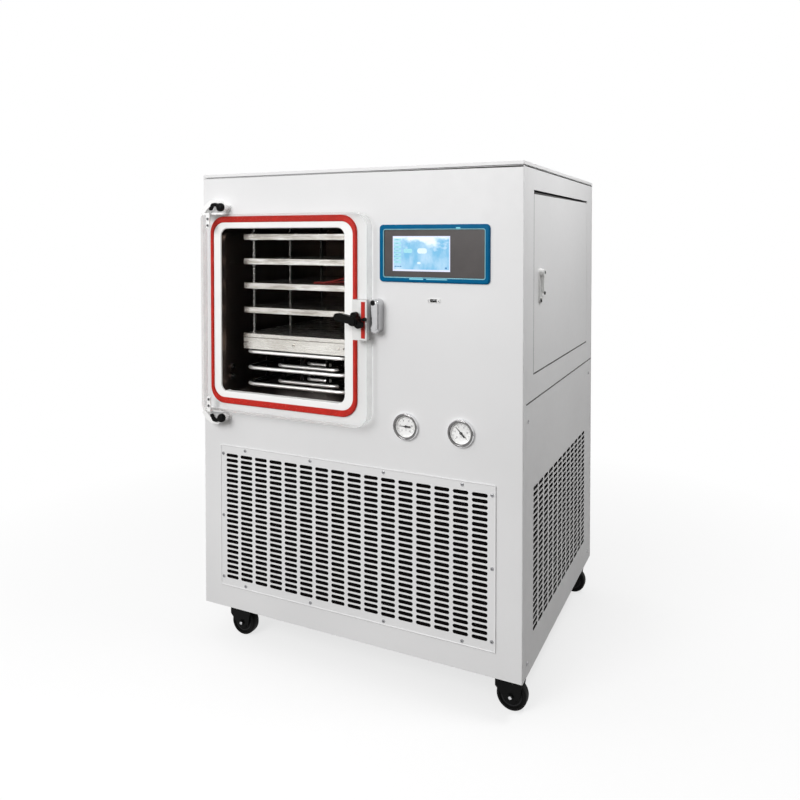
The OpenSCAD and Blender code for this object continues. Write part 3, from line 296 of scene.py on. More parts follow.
red_rubber = rubber("red_rubber", (0.52, 0.020, 0.012))
tread = rubber("tread", (0.004, 0.004, 0.004), scale=500, shine=0.08)
cable_red = rubber("cable_red", (0.16, 0.010, 0.008))
wire_blue = rubber("wire_blue", (0.010, 0.060, 0.350))
wire_yellow = rubber("wire_yellow", (0.480, 0.400, 0.020))
# a near-black matte: painted shade for the inside of the bay, its vents and the pads and rings behind them
painted_vent_shade = rubber("painted_vent_shade", (0.006, 0.005, 0.005), (0.80, 0.95), scale=700, shine=0.02)
# a dark grey matte: painted shade for the gaps at the seams, round the service door and under the lid
painted_seam_shade = rubber("painted_seam_shade", (0.060, 0.058, 0.057), (0.60, 0.75))

blue_moulding = moulded("blue_moulding", (0.0005, 0.120, 0.270), (0.22, 0.30), shine=0.05)
blue_edge = moulded("blue_edge", (0.26, 0.58, 0.66), (0.18, 0.28))
plate_grey = moulded("plate_grey", (0.070, 0.062, 0.061), (0.26, 0.38), shine=0.3)
black_moulding = moulded("black_moulding", (0.003, 0.003, 0.003), (0.36, 0.48), shine=0.07)
fork_black = moulded("fork_black", (0.003, 0.003, 0.003), (0.30, 0.42), shine=0.08)
hub_grey = moulded("hub_grey", (0.012, 0.012, 0.013), (0.30, 0.42), shine=0.15)
white_moulding = moulded("white_moulding", (0.80, 0.80, 0.79), (0.28, 0.40))
dial_white = moulded("dial_white", (0.93, 0.93, 0.92), (0.35, 0.45))
device_grey = moulded("device_grey", (0.42, 0.43, 0.44), (0.35, 0.48))
device_dark = moulded("device_dark", (0.035, 0.036, 0.038), (0.35, 0.48), shine=0.3)
duct_grey = moulded("duct_grey", (0.24, 0.25, 0.27), (0.40, 0.55))

glass = clear("gauge_glass", (1.0, 1.0, 1.0), 1.45)
acrylic = clear("acrylic", (0.997, 1.0, 0.998), 1.06, shine=0.5)
acrylic_edge = moulded("acrylic_edge", (0.90, 0.92, 0.91), (0.25, 0.35), grain=500, alpha=0.4)

ink_black = print_ink("ink_black", (0.10, 0.10, 0.11))
# painted shade: a near-black ink for the hollows of the screw sockets
painted_recess_shade = print_ink("painted_recess_shade", (0.015, 0.015, 0.016))
tray_shadow = print_ink("tray_shadow", (0.16, 0.14, 0.12))
lamp_green = lit("lamp_green", (0.05, 0.80, 0.15), 0.8)
screen_lo, screen_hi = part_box("hmi_screen")
display = lit_screen("display", screen_lo.z, screen_hi.z, (0.17, 0.46, 0.70), (0.80, 0.91, 1.0))

FINISHES = (
    (frame_coat, "base_frame corner_posts"),
    (zinc, "mid_deck chamber_shell control_plate"),
    (panel, "front_panel front_grille left_upper_panel left_lower_panel right_upper_panel "
            "right_lower_panel rear_panel top_lid service_door"),
    (rim, "chamber_flange hinge_brackets hinge_straps"),
    (shelf_steel, "shelf_top shelf_1 shelf_2 shelf_3"),
    (tray_steel, "shelf_base"),
    (rod_steel, "shelf_rods"),
    (coil_steel, "condenser_coil latch_spindle"),
    (plating, "latch_keeper vacuum_port drain_port"),
    (screw_steel, "panel_screws"),
    (chrome, "gauge_cases"),
    (black_coat, "compressor heat_exchanger caster_plates"),
    (red_rubber, "door_gasket latch_pad"),
    (cable_red, "probe_cables"),
    (blue_moulding, "hmi_bezel"),
    (plate_grey, "hmi_plate"),
    (display, "hmi_screen"),
    (dial_white, "gauge_dials"),
    (glass, "gauge_lenses"),
    (acrylic, "door_plate"),
    (white_moulding, "usb_socket latch_housing lock_body lock_handle"),
    (black_moulding, "gauge_needle_1 gauge_needle_2 hinge_caps condenser_fan power_inlet latch_lever"),
    (fork_black, "caster_fork_fl caster_fork_fr caster_fork_rl caster_fork_rr"),
    (tread, "caster_wheel_fl caster_wheel_fr caster_wheel_rl caster_wheel_rr"),
)

for material, names in FINISHES:
    for name in names.split():
        mesh = nodes[name].data
        mesh.materials.clear()
        mesh.materials.append(material)


# ---------- second finishes on CAD nodes ----------


def paint(node, material, test):
    """Gives the material to the faces of a CAD node whose centre and normal pass the test."""
    mesh = nodes[node].data
    mesh.materials.append(material)
    place = len(mesh.materials) - 1
    for face in mesh.polygons:
        if test(face.center, face.normal):
            face.material_index = place


def within(c, box, margin, *axes):
    """True for a point that lies inside a box by more than the margin, along the axes."""
    return all(box[0][a] + margin * MM < c[a] < box[1][a] - margin * MM for a in axes)


side, hatch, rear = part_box("right_lower_panel"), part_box("service_door"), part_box("rear_panel")
grille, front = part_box("front_grille"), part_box("front_panel")
chamber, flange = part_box("chamber_shell"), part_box("chamber_flange")
rods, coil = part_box("shelf_rods"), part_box("condenser_coil")
control, strap_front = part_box("control_plate"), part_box("hinge_straps")[0].y
compressor_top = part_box("compressor")[1].z

# Painted shade: the bay's inner faces and the walls of the vents are near black, so the vents look dark, and
# the edge faces at the seams and round the service door are dark grey, so the seams look dark
for name, sign in (("right_lower_panel", 1), ("left_lower_panel", -1)):
    paint(name, painted_vent_shade, lambda c, n: sign * n.x < -0.5 or abs(n.x) < 0.5 and within(c, side, 20, Y, Z))
    paint(name, painted_seam_shade, lambda c, n: n.z > 0.5)
paint("rear_panel", painted_vent_shade, lambda c, n: n.y < -0.5 or abs(n.y) < 0.5 and within(c, rear, 15, X, Z))
# Painted shade: the upper panel's lower edges, the walls of the service door's opening and the door's own
# edges are dark grey
paint("right_upper_panel", painted_seam_shade, lambda c, n: n.z < -0.5
      or abs(n.x) < 0.5 and within(c, (side[0], hatch[1]), 12, Y, Z))
paint("service_door", painted_seam_shade, lambda c, n: abs(n.x) < 0.5)
paint("front_grille", painted_vent_shade, lambda c, n: n.y > -0.5 and within(c, grille, 5, X, Z))
paint("front_panel", painted_vent_shade, lambda c, n: n.y > 0.5 and within(c, front, 6, X) and c.z < grille[1].z + 40 * MM)
paint("front_panel", painted_vent_shade, lambda c, n: abs(n.y) < 0.5 and within(c, grille, 0, X, Z))

# The plate's sawn edges are frosted. The chamber's inside and the flange's inner walls, all but the flat
# sill, get a near-black steel: painted shade for the dark inside of the chamber
paint("door_plate", acrylic_edge, lambda c, n: abs(n.y) < 0.5)
paint("chamber_shell", chamber_shade_steel, lambda c, n: within(c, chamber, 5, X, Z) and c.y < chamber[1].y - 5 * MM)
paint("chamber_flange", chamber_shade_steel, lambda c, n: abs(n.y) < 0.3 and n.z < 0.9 and within(c, flange, 8, X, Z))

# Painted shade: the rods behind the front left ones, and the coil away from the front runs of its loops, get
# a darker steel than those in front
COIL_ROWS = [coil[0].y + 5 * MM + k * 62 * MM for k in range(3)]
paint("shelf_rods", shade_steel, lambda c, n: c.y > (rods[0].y + rods[1].y) / 2 or c.x > rods[0].x + 20 * MM)
paint("condenser_coil", shade_steel, lambda c, n: min(abs(c.y - row) for row in COIL_ROWS) > 6.5 * MM)

# The two pipe ports on the chamber's left wall, below the middle of its height
PORTS_Y = chamber[0].y + 31 * MM
PORTS_Z = [(chamber[0].z + chamber[1].z) / 2 - drop * MM for drop in (168, 196)]
paint("chamber_shell", rod_steel, lambda c, n: chamber[0].x + 9 * MM < c.x < chamber[0].x + 24 * MM
      and abs(c.y - PORTS_Y) < 8 * MM and min(abs(c.z - z) for z in PORTS_Z) < 7 * MM)

# The rows of devices on the control plate: their finish, and their lower and upper heights on it
DEVICE_ROWS = ((aluminium, 36, 164), (device_dark, 222, 313), (device_grey, 372, 463),
               (device_dark, 497, 588))
for finish, z0, z1 in DEVICE_ROWS:
    paint("control_plate", finish, lambda c, n: c.x > control[0].x + 11.5 * MM
          and control[0].z + z0 * MM < c.z < control[0].z + z1 * MM and c.y < control[1].y - 15 * MM)
paint("hinge_straps", screw_steel, lambda c, n: c.y < strap_front + 1.3 * MM)
paint("compressor", copper, lambda c, n: c.z > compressor_top - 25 * MM)
paint("heat_exchanger", fin_metal, lambda c, n: abs(n.x) > 0.9)


# ---------- tools for detail pieces ----------

SIDES = {
    "front": ((1, 0, 0), (0, 0, 1), (0, -1, 0)),
    "back": ((1, 0, 0), (0, 0, 1), (0, 1, 0)),
    "right": ((0, 1, 0), (0, 0, 1), (1, 0, 0)),
    "left": ((0, 1, 0), (0, 0, 1), (-1, 0, 0)),
    "top": ((1, 0, 0), (0, 1, 0), (0, 0, 1)),
}


class Plane:
    """A plane on one side of the object: u and v are places on it, and w millimetres stand out of it."""

    def __init__(self, side, depth):
        self.u, self.v, self.w = (Vector(axis) for axis in SIDES[side])
        self.origin = Vector(abs(c) * depth for c in self.w)

    def at(self, u, v, w):
        return self.origin + u * self.u + v * self.v + w * MM * self.w

    def ring(self, outline, w):
        return [self.at(u, v, w) for u, v in outline]


def placed(name, data):
    """A new object in the scene."""
    made = bpy.data.objects.new(name, data)
    bpy.context.scene.collection.objects.link(made)
    return made


class Piece:
    """A detail that is built solid by solid in mesh code and then rides on a body."""

    def __init__(self, name, material, body="cabinet"):
        self.name, self.material, self.body = name, material, body
        self.mesh = bmesh.new()

    def loft(self, rings, closed=False):
        """Skins rings of points with the same count, and caps both ends or joins them."""
        rows = [[self.mesh.verts.new(point) for point in ring] for ring in rings]
        count = len(rows[0])
        for low, high in list(zip(rows, rows[1:])) + ([(rows[-1], rows[0])] if closed else []):
            for i in range(count):
                j = (i + 1) % count
                self.mesh.faces.new((low[i], low[j], high[j], high[i]))
        if not closed:
            self.mesh.faces.new(rows[0])
            self.mesh.faces.new(rows[-1])

    def prism(self, plane, outline, low, high):
        self.loft([plane.ring(outline, w) for w in (low, high)])

    def block(self, plane, u0, v0, u1, v1, low, high):
        """A square-edged block over the rectangle between two corners."""
        self.prism(plane, ((u0, v0), (u1, v0), (u1, v1), (u0, v1)), low, high)

    def bar(self, plane, start, end, width, low, high):
        """A straight bar between two points of a plane, which reaches half its width past them."""
        a, b = Vector(start), Vector(end)
        along = (b - a).normalized() * (width * MM / 2)
        across = Vector((-along.y, along.x))
        corners = (a - along - across, b + along - across, b + along + across, a - along + across)
        self.prism(plane, [tuple(c) for c in corners], low, high)

    def turned(self, plane, centre, profile, steps=32, closed=False):
        """A body of revolution about the plane's outward axis; the profile is (radius, height) pairs."""
        self.loft([plane.ring(circle(centre, r, steps), w) for r, w in profile], closed)

    def tube(self, path, radius, sides=8, closed=False):
        """A round tube along a path of points."""
        path = [Vector(p) for p in path]
        rings, side = [], None
        for i, point in enumerate(path):
            before = path[i - 1] if i or closed else point
            after = path[(i + 1) % len(path)] if i + 1 < len(path) or closed else point
            ahead = (after - before).normalized()
            if side is None:
                side = ahead.orthogonal().normalized()
            side = (side - ahead * side.dot(ahead)).normalized()
            other = ahead.cross(side)
            rings.append([point + radius * MM * (math.cos(t) * side + math.sin(t) * other)
                          for t in (math.tau * k / sides for k in range(sides))])
        self.loft(rings, closed)

    def done(self, soften=35):
        """Makes the object; edges flatter than soften degrees are shaded as smooth."""
        bmesh.ops.recalc_face_normals(self.mesh, faces=self.mesh.faces)
        for face in self.mesh.faces:
            face.smooth = True
        for edge in self.mesh.edges:
            edge.smooth = len(edge.link_faces) == 2 and edge.calc_face_angle() < math.radians(soften)
        data = bpy.data.meshes.new(self.name)
        self.mesh.to_mesh(data)
        self.mesh.free()
        data.materials.append(self.material)
        made = placed(self.name, data)
        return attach(made, self.body)


def circle(centre, radius, steps):
    turns = [math.tau * k / steps for k in range(steps)]
    return [(centre[0] + radius * MM * math.cos(t), centre[1] + radius * MM * math.sin(t)) for t in turns]


def rounded(centre, width, height, radius, steps=5):
    """The outline of a rectangle with round corners."""
    points = []
    for quarter, (su, sv) in enumerate(((1, 1), (-1, 1), (-1, -1), (1, -1))):
        u = centre[0] + su * (width / 2 - radius) * MM
        v = centre[1] + sv * (height / 2 - radius) * MM
        for k in range(steps + 1):
            turn = math.pi / 2 * (quarter + k / steps)
            points.append((u + radius * MM * math.cos(turn), v + radius * MM * math.sin(turn)))
    return points


def around(box, grow, radius, steps=5, axes=(X, Z)):
    """The round-cornered outline of one face of a box, grown on every side."""
    centre = [middle(box)[a] for a in axes]
    width, height = ((box[1][a] - box[0][a]) / MM + 2 * grow for a in axes)
    return rounded(centre, width, height, radius, steps)


def middle(box):
    return (box[0] + box[1]) / 2


def face_centre(box):
    """The centre of a box's front, as a place on a front plane."""
    return middle(box).x, middle(box).z


def clusters(faces, mesh):
    """(lowest corner, highest corner) of each connected group of faces."""
    group, first = {}, {}

    def root(i):
        while group.setdefault(i, i) != i:
            group[i] = group[group[i]]
            i = group[i]
        return i

    for face in faces:
        spots = [first.setdefault(tuple(round(c, 6) for c in mesh.vertices[i].co), i) for i in face.vertices]
        for i in spots[1:]:
            group[root(i)] = root(spots[0])
    members = {}
    for i in list(group):
        members.setdefault(root(i), []).append(mesh.vertices[i].co)
    boxes = [(Vector(map(min, zip(*points))), Vector(map(max, zip(*points)))) for points in members.values()]
    return sorted(boxes, key=lambda box: tuple(box[0]))


def solids(node):
    """The box of each separate solid of a CAD node."""
    mesh = nodes[node].data
    return clusters(mesh.polygons, mesh)


# Which strokes of a seven-stroke figure each digit uses, and where the strokes run
STROKES = {"a": ((0, 2), (1, 2)), "b": ((1, 2), (1, 1)), "c": ((1, 1), (1, 0)), "d": ((0, 0), (1, 0)),
           "e": ((0, 1), (0, 0)), "f": ((0, 2), (0, 1)), "g": ((0, 1), (1, 1))}
DIGITS = {"0": "abcdef", "1": "bc", "2": "abged", "3": "abgcd", "4": "fgbc", "5": "afgcd",
          "6": "afgedc", "7": "abc", "8": "abcdefg", "9": "abcdfg"}


def figures(piece, plane, text, centre, height, low, high):
    """Plain numbers, drawn with straight strokes."""
    size = height * MM / 2
    pitch = size * 1.6
    left = centre[0] - (len(text) - 1) * pitch / 2 - size / 2
    for i, digit in enumerate(text):
        for stroke in DIGITS[digit]:
            start, end = ((left + i * pitch + x * size, centre[1] - size + y * size)
                          for x, y in STROKES[stroke])
            piece.bar(plane, start, end, 0.16 * height, low, high)


# ---------- touch panel and gauges ----------


def build_touch_panel():
    """The bezel's bright inner lip, glowing cyan strips on the frame that are painted highlights, and the
    page on the screen.
    """
    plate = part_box("hmi_plate")
    lo, hi = plate
    face = Plane("front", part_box("hmi_bezel")[0].y)
    lip = Piece("hmi_lip", blue_edge)
    lip.tube(face.ring(around(plate, 1.7, 5), -1.6), 1.4, closed=True)
    lip.done()
    # Painted highlights: glowing cyan strips on the frame's lower and upper lips
    glint_strips = Piece("hmi_painted_glints", lit("glint_cyan", (0.20, 0.62, 0.74)))
    foot, head = lo.z - 4.6 * MM, hi.z + 4.4 * MM
    for start, end, height, width in ((0.27, 0.40, foot, 3.0), (0.44, 0.64, foot, 2.0),
                                      (0.735, 0.765, head, 3.0)):
        start, end = (lo.x + share * (hi.x - lo.x) for share in (start, end))
        glint_strips.bar(face, (start, height), (end, height), width, -0.5, 0.3)
    glint_strips.done()

    page = Plane("front", screen_lo.y)
    wide, tall = screen_hi.x - screen_lo.x, screen_hi.z - screen_lo.z

    def spot(u, v):
        """A place on the screen as shares of its width and of its height from the top."""
        return screen_lo.x + u * wide, screen_hi.z - v * tall

    def tiles(name, material, *rows):
        """Flat tiles: a row has shares of the screen, a corner radius, a height and the tiles' centres."""
        piece = Piece(name, material)
        for w, h, radius, level, spots in rows:
            width, height = w * wide / MM, h * tall / MM
            for u, v in spots:
                outline = rounded(spot(u, v), width, height, min(radius, width / 2.05, height / 2.05))
                piece.prism(page, outline, 0, level)
        piece.done()

    menu = [0.10 + 0.107 * k for k in range(7)]
    tiles("screen_bubbles", lit("bubble_white", (0.72, 0.86, 1.0)),
          (0.17, 0.15, 8.0, 0.10, [(0.52, 0.42)]), (0.06, 0.06, 8.0, 0.10, [(0.465, 0.765)]))
    tiles("screen_buttons", lit("pale_green", (0.34, 0.70, 0.78)),
          (0.15, 0.12, 3.0, 0.10, [(0.27, 0.42)]), (0.13, 0.062, 0.9, 0.10, [(0.085, v) for v in menu]))
    tiles("screen_marks", lit("deep_blue", (0.07, 0.24, 0.48)),
          (0.022, 0.035, 0.3, 0.10, [(0.045 + 0.032 * k, 0.87) for k in range(4)]),
          (0.035, 0.05, 0.4, 0.10, [(0.93, 0.90)]), (0.055, 0.010, 0.1, 0.12, [(0.075, v) for v in menu]))
    tiles("screen_border", lit("border_white", (0.72, 0.76, 0.95)),
          (1.0, 0.05, 0.05, 0.08, [(0.5, 0.975)]), (1.0, 0.03, 0.05, 0.08, [(0.5, 0.015)]),
          (0.015, 1.0, 0.05, 0.08, [(0.0075, 0.5), (0.9925, 0.5)]))
    red = Piece("screen_alarm", lit("alarm_red", (0.80, 0.22, 0.25)))
    red.turned(page, spot(0.32, 0.11), ((0.9, 0), (0.9, 0.12)), 16)
    red.done()


# Profiles about the gauges' axes: (radius, height) pairs
PIVOT_RING = ((1.5, 0), (1.5, 0.06), (1.1, 0.06), (1.1, 0))
BEZEL = ((32.6, -2.0), (32.6, 0.2), (31.6, 1.1), (30.6, 1.5), (29.4, 1.5), (28.2, 1.1), (27.3, 0.1),
         (31.0, 0.1), (31.0, -2.0))
BEZEL_LIP = ((34.06, -4.0), (34.06, -2.0), (33.8, -0.9), (33.2, -0.1), (32.5, 0.3), (32.5, -4.0))
SKIRT = ((26.35, 0.02), (26.35, 4.7), (26.2, 4.7), (23.9, 0.1), (23.9, 0.02))
NEEDLE_HUB = ((3.3, 1.3), (3.3, 3.2), (2.4, 3.7))


def build_gauge_print():
    """A scale with plain numbers on each dial, the bezel around it, and each needle's tail and hub."""
    ink = Piece("gauge_scales", ink_black)
    bezels = Piece("gauge_bezels", bezel_dark_reflection)
    lips = Piece("gauge_lips", chrome)
    skirts = Piece("gauge_skirts", dial_white)
    face = Plane("front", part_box("gauge_lenses")[0].y)
    for box, unit in zip(solids("gauge_dials"), (2, 1)):
        dial = Plane("front", box[0].y)
        centre = face_centre(box)

        def spot(share, radius):
            """A place at a share of the scale's 270 degrees."""
            turn = math.radians(225 - 270 * share)
            return centre[0] + radius * MM * math.cos(turn), centre[1] + radius * MM * math.sin(turn)

        for k in range(51):
            length, width = (4.6, 0.6) if k % 5 == 0 else (2.4, 0.25)
            ink.bar(dial, spot(k / 50, 23), spot(k / 50, 23 - length), width, 0, 0.06)
        for k in range(0, 11, 2):
            figures(ink, dial, str(k * unit), spot(k / 10, 15.6), 3.4, 0, 0.06)
        for k in range(40):
            ink.bar(dial, spot(k / 40, 23.3), spot((k + 1) / 40, 23.3), 0.25, 0, 0.05)
        ink.turned(dial, (centre[0], centre[1] - 9 * MM), PIVOT_RING, closed=True)
        # The bezel in dark steel, a painted reflection, inside the chrome lip
        bezels.turned(face, centre, BEZEL, 64, closed=True)
        lips.turned(face, centre, BEZEL_LIP, 64, closed=True)
        skirts.turned(dial, centre, SKIRT, 64, closed=True)
    for piece in (ink, bezels, lips, skirts):
        piece.done()

    joints = {joint["name"]: joint for joint in frame["joints"]}
    dial = Plane("front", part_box("gauge_dials")[0].y)
    for n in (1, 2):
        hub = joints[f"needle_{n}_turn"]["pos_m"]
        centre = Vector((hub[0], hub[2]))
        away = (Vector(face_centre(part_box(f"gauge_needle_{n}"))) - centre).normalized()
        tail = Piece(f"needle_tail_{n}", black_moulding, f"needle_{n}")
        tail.bar(dial, centre - away * 1.5 * MM, centre - away * 11 * MM, 4.0, 1.6, 2.9)
        tail.turned(dial, centre, NEEDLE_HUB, 28)
        tail.done()


# ---------- screws, socket and lock ----------


def build_screw_recesses():
    """A near-black hexagon on the head of every panel screw and every hinge strap screw: painted shade for
    its recess.
    """
    recess = Piece("screw_recesses", painted_recess_shade)
    proud = 0.5 * MM
    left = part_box("left_lower_panel")[0].x
    for box in solids("panel_screws"):
        lo, hi = box
        u, v = face_centre(box)
        if hi.x > side[1].x + proud:
            plane, u = Plane("right", hi.x), middle(box).y
        elif lo.x < left - proud:
            plane, u = Plane("left", lo.x), middle(box).y
        elif hi.y > rear[1].y + proud:
            plane = Plane("back", hi.y)
        else:
            plane = Plane("front", lo.y)
        recess.turned(plane, (u, v), ((1.7, -0.2), (1.7, 0.04)), 6)
    recess.done()

    mesh = nodes["hinge_straps"].data
    heads = [f for f in mesh.polygons if f.center.y < strap_front + 0.3 * MM]
    sockets = Piece("strap_screw_recesses", painted_recess_shade, "door")
    for box in clusters(heads, mesh):
        sockets.turned(Plane("front", strap_front), face_centre(box), ((2.6, -0.2), (2.6, 0.04)), 6)
    sockets.done()


def build_usb_socket():
    """The socket's black insert with its steel tongue, and the two small screws beside it."""
    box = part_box("usb_socket")
    face = Plane("front", box[0].y)
    u, v = face_centre(box)
    insert = Piece("usb_insert", black_moulding)
    for du, dv, width, height in ((0, 3.0, 17, 1.2), (0, -3.0, 17, 1.2),
                                  (7.4, 0, 2.2, 7.2), (-7.4, 0, 2.2, 7.2)):
        insert.prism(face, rounded((u + du * MM, v + dv * MM), width, height, 0.4, 2), -1, 0.4)
    insert.prism(face, rounded((u, v), 12.8, 4.8, 0.4, 2), -12, -5)
    insert.done()
    shell = Piece("usb_shell", screw_steel)
    for du in (-13, 13):
        shell.turned(face, (u + du * MM, v), ((2.0, 0), (2.0, 0.5), (1.3, 0.9)), 20)
    shell.prism(face, rounded((u, v + 0.9 * MM), 11, 1.0, 0.2, 2), -6, -0.6)
    shell.done()


def build_lock_details():
    """The black plugs at the ends of the lock's lever, and the keyhole under it."""
    lo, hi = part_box("lock_body")
    lever_lo, lever_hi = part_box("lock_handle")
    middle_y = (lo.y + hi.y) / 2
    plugs = Piece("lock_plugs", black_moulding, "service_lock")
    for z in (lever_hi.z - 9 * MM, lever_lo.z + 9 * MM):
        plugs.turned(Plane("right", lever_hi.x), (middle_y + 2 * MM, z),
                     ((4.2, -1), (4.2, 0.4), (3.2, 1.0)), 24)
    plugs.done()
    keyhole = Piece("keyhole", black_moulding, "service_door")
    keyhole.turned(Plane("right", lo.x + 0.75 * (hi.x - lo.x)), (middle_y - 2 * MM, lo.z + 8 * MM),
                   ((5.5, -4), (5.5, 3.0), (4.5, 4.0)), 24)
    keyhole.done()


# ---------- chamber and door ----------


def build_chamber_details():
    """The line and the two rivets on the lowest shelf's folded face, and a bead around the door's seal."""
    lo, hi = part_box("shelf_base")
    tray = Plane("front", lo.y)
    lines = Piece("tray_lines", tray_shadow)
    height = hi.z - 11 * MM
    lines.bar(tray, (lo.x + 4 * MM, height), (hi.x - 4 * MM, height), 1.2, 0, 0.25)
    for share in (0.5, 0.97):
        lines.turned(tray, (lo.x + share * (hi.x - lo.x), hi.z - 25 * MM),
                     ((2.4, 0), (2.4, 0.5), (1.4, 1.0)), 20)
    lines.done()

    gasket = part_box("door_gasket")
    width, height = ((gasket[1][a] - gasket[0][a] + flange[1][a] - flange[0][a]) / 2 / MM for a in (X, Z))
    bead = Piece("gasket_bead", red_rubber)
    outline = rounded(face_centre(gasket), width, height, 40, 10)
    bead.tube(Plane("front", gasket[0].y).ring(outline, -0.9), 1.0, closed=True)
    bead.done()


def build_keeper_face():
    """The keeper's domed face, with the black rubber stop at its top end."""
    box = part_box("latch_keeper")
    face = Plane("front", box[0].y)
    half = (box[1].x - box[0].x) / 2 / MM
    dome = Piece("keeper_face", plating)
    dome.loft([face.ring(around(box, -inset, (half - inset) * 0.98, 10), rise) for inset, rise in (
        (0.2, -1.0), (0.2, 0.0), (0.9, 1.7), (2.2, 3.2), (4.2, 4.5), (7.0, 5.4), (10.5, 5.8))])
    dome.done()
    stop = Piece("keeper_stop", black_moulding)
    stop.turned(face, (middle(box).x - 1 * MM, box[1].z - 9 * MM),
                ((6.5, 1.0), (6.5, 6.0), (5.5, 7.0), (3.0, 7.5)), 28)
    stop.done()


# ---------- cabinet edges, seams and casters ----------


def build_grille_rim():
    """The grille plate's folded edge, which catches the light."""
    edge = Piece("grille_rim", panel)
    edge.tube(Plane("front", grille[0].y).ring(around(grille, -0.5, 2.5, 4), 0.1), 1.3, closed=True)
    edge.done()


def build_lid_gap_shade():
    """A dark strip of painted shade in the gap under the lid, which shows more and more towards the right end
    of the front.
    """
    lo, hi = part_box("top_lid")
    top = Plane("top", lo.z)
    centre = ((lo.x + hi.x) / 2, (lo.y + hi.y) / 2 + 0.6 * MM)
    width, depth = (hi.x - lo.x) / MM, (hi.y - lo.y) / MM
    outer = rounded(centre, width + 0.4, depth - 0.8, 3.2)
    inner = rounded(centre, width - 3, depth - 3, 2)
    strip = Piece("lid_gap_shade", painted_seam_shade)
    strip.loft([top.ring(line, w) for line, w in (
        (outer, -2.4), (outer, -0.3), (inner, -0.3), (inner, -2.4))], closed=True)
    left, right, under = lo.x + 2 * MM, hi.x - 2 * MM, lo.z - 0.7 * MM
    wedge = ((left, under - 0.7 * MM), (0, under - 0.9 * MM), (right, under - 3.8 * MM),
             (right, under), (left, under))
    strip.prism(Plane("front", lo.y), wedge, -1, 0.25)
    strip.done()


def build_seam_shades():
    """Dark strips of painted shade in the side panels' joints and along the service door's lower and upper
    edges.
    """
    for name, end in (("right", 1), ("left", 0)):
        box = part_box(f"{name}_lower_panel")
        lo, hi = box
        seam = Piece(f"{name}_seam", painted_seam_shade)
        seam.bar(Plane(name, box[end].x), (lo.y + 0.5 * MM, hi.z), (hi.y - 0.5 * MM, hi.z), 3.6, -1.5, 0.15)
        seam.done()
    leaf = [v.co for v in nodes["service_door"].data.vertices if v.co.x > hatch[1].x - 0.1 * MM]
    y0, y1 = min(p.y for p in leaf), max(p.y for p in leaf)
    z0, z1 = min(p.z for p in leaf), max(p.z for p in leaf)
    wall = Plane("right", leaf[0].x)
    door_gap_shade = Piece("service_door_gap_shade", painted_seam_shade, "service_door")
    door_gap_shade.block(wall, y0, z0 - 1.6 * MM, y1, z0 + 1.8 * MM, -1.5, 0.15)
    wedge = ((y0, z1 - 4.5 * MM), (y1, z1 - 0.6 * MM), (y1, z1 + 0.3 * MM), (y0, z1 + 0.3 * MM))
    door_gap_shade.prism(wall, wedge, -1.5, 0.15)
    door_gap_shade.done()


def build_caster_caps():
    """A plated cap on each end of every axle, and a ring in each side of every wheel."""
    for corner in ("fl", "fr", "rl", "rr"):
        fork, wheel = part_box(f"caster_fork_{corner}"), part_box(f"caster_wheel_{corner}")
        centre = face_centre(wheel)
        outer = (wheel[1].z - wheel[0].z) / 2 / MM - 12
        inner = outer - 3
        caps = Piece(f"axle_caps_{corner}", plating, f"swivel_{corner}")
        rings = Piece(f"wheel_rings_{corner}", hub_grey, f"wheel_{corner}")
        for name, end in (("front", 0), ("back", 1)):
            caps.turned(Plane(name, fork[end].y), centre,
                        ((4.2, -0.2), (4.2, 0.8), (3.4, 1.7), (1.6, 2.1)), 28)
            rings.turned(Plane(name, wheel[end].y), centre,
                         ((outer, -4.7), (outer, -4.0), (inner, -4.0), (inner, -4.7)), closed=True)
        caps.done()
        rings.done()


# ---------- behind the panels ----------


def build_vent_shade_pads():
    """Near-black pads behind the four fields of vents: painted shade seen through the vents."""
    pads = Piece("vent_shade_pads", painted_vent_shade)
    half_y = side[1].y - 40 * MM
    low, high = side[0].z + 55 * MM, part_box("mid_deck")[0].z - 8 * MM
    for name, depth in (("right", side[1].x), ("left", -side[1].x)):
        pads.block(Plane(name, depth), -half_y, low, half_y, high, -9, -5)
    pads.block(Plane("front", front[0].y), grille[0].x + 12 * MM, low, grille[1].x - 12 * MM, high, -8, -4)
    pads.block(Plane("back", rear[1].y), -0.180, 0.310, 0.252, 0.560, -10, -6)
    pads.done()


def build_vent_slot_shades():
    """A near-black ring of painted shade round the inside of every slot of the front and side vents."""
    for node, name, along, out in (("front_grille", "front", X, Y), ("right_lower_panel", "right", Y, X),
                                   ("left_lower_panel", "left", Y, X)):
        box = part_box(node)
        mesh = nodes[node].data
        walls = [f for f in mesh.polygons if abs(f.normal[out]) < 0.5
                 and within(f.center, box, 6, along) and within(f.center, box, 12, Z)]
        face = Plane(name, box[1 if name == "right" else 0][out])
        slot_shades = Piece(f"{node}_liners", painted_vent_shade)
        for slot in clusters(walls, mesh):
            if slot[1][along] - slot[0][along] < 20 * MM:
                continue
            radius = (slot[1].z - slot[0].z) / 2 / MM - 0.01
            slot_shades.loft([face.ring(around(slot, grow, radius + grow, 3, (along, Z)), w)
                         for grow, w in ((0.6, -0.3), (0.6, 0.1), (-0.1, 0.1), (-0.1, -0.3))], closed=True)
        slot_shades.done()


# The wires' routes in the control bay: heights on the plate, and distances from it
BREAKER_ROUTES = (((380, 64), (372, 60), (362, 50), (352, 36), (345, 26)),
                  ((455, 64), (463, 60), (468, 50), (474, 36), (480, 26)))
CONTACTOR_ROUTE = ((302, 80), (312, 76), (320, 60), (328, 44), (335, 30))


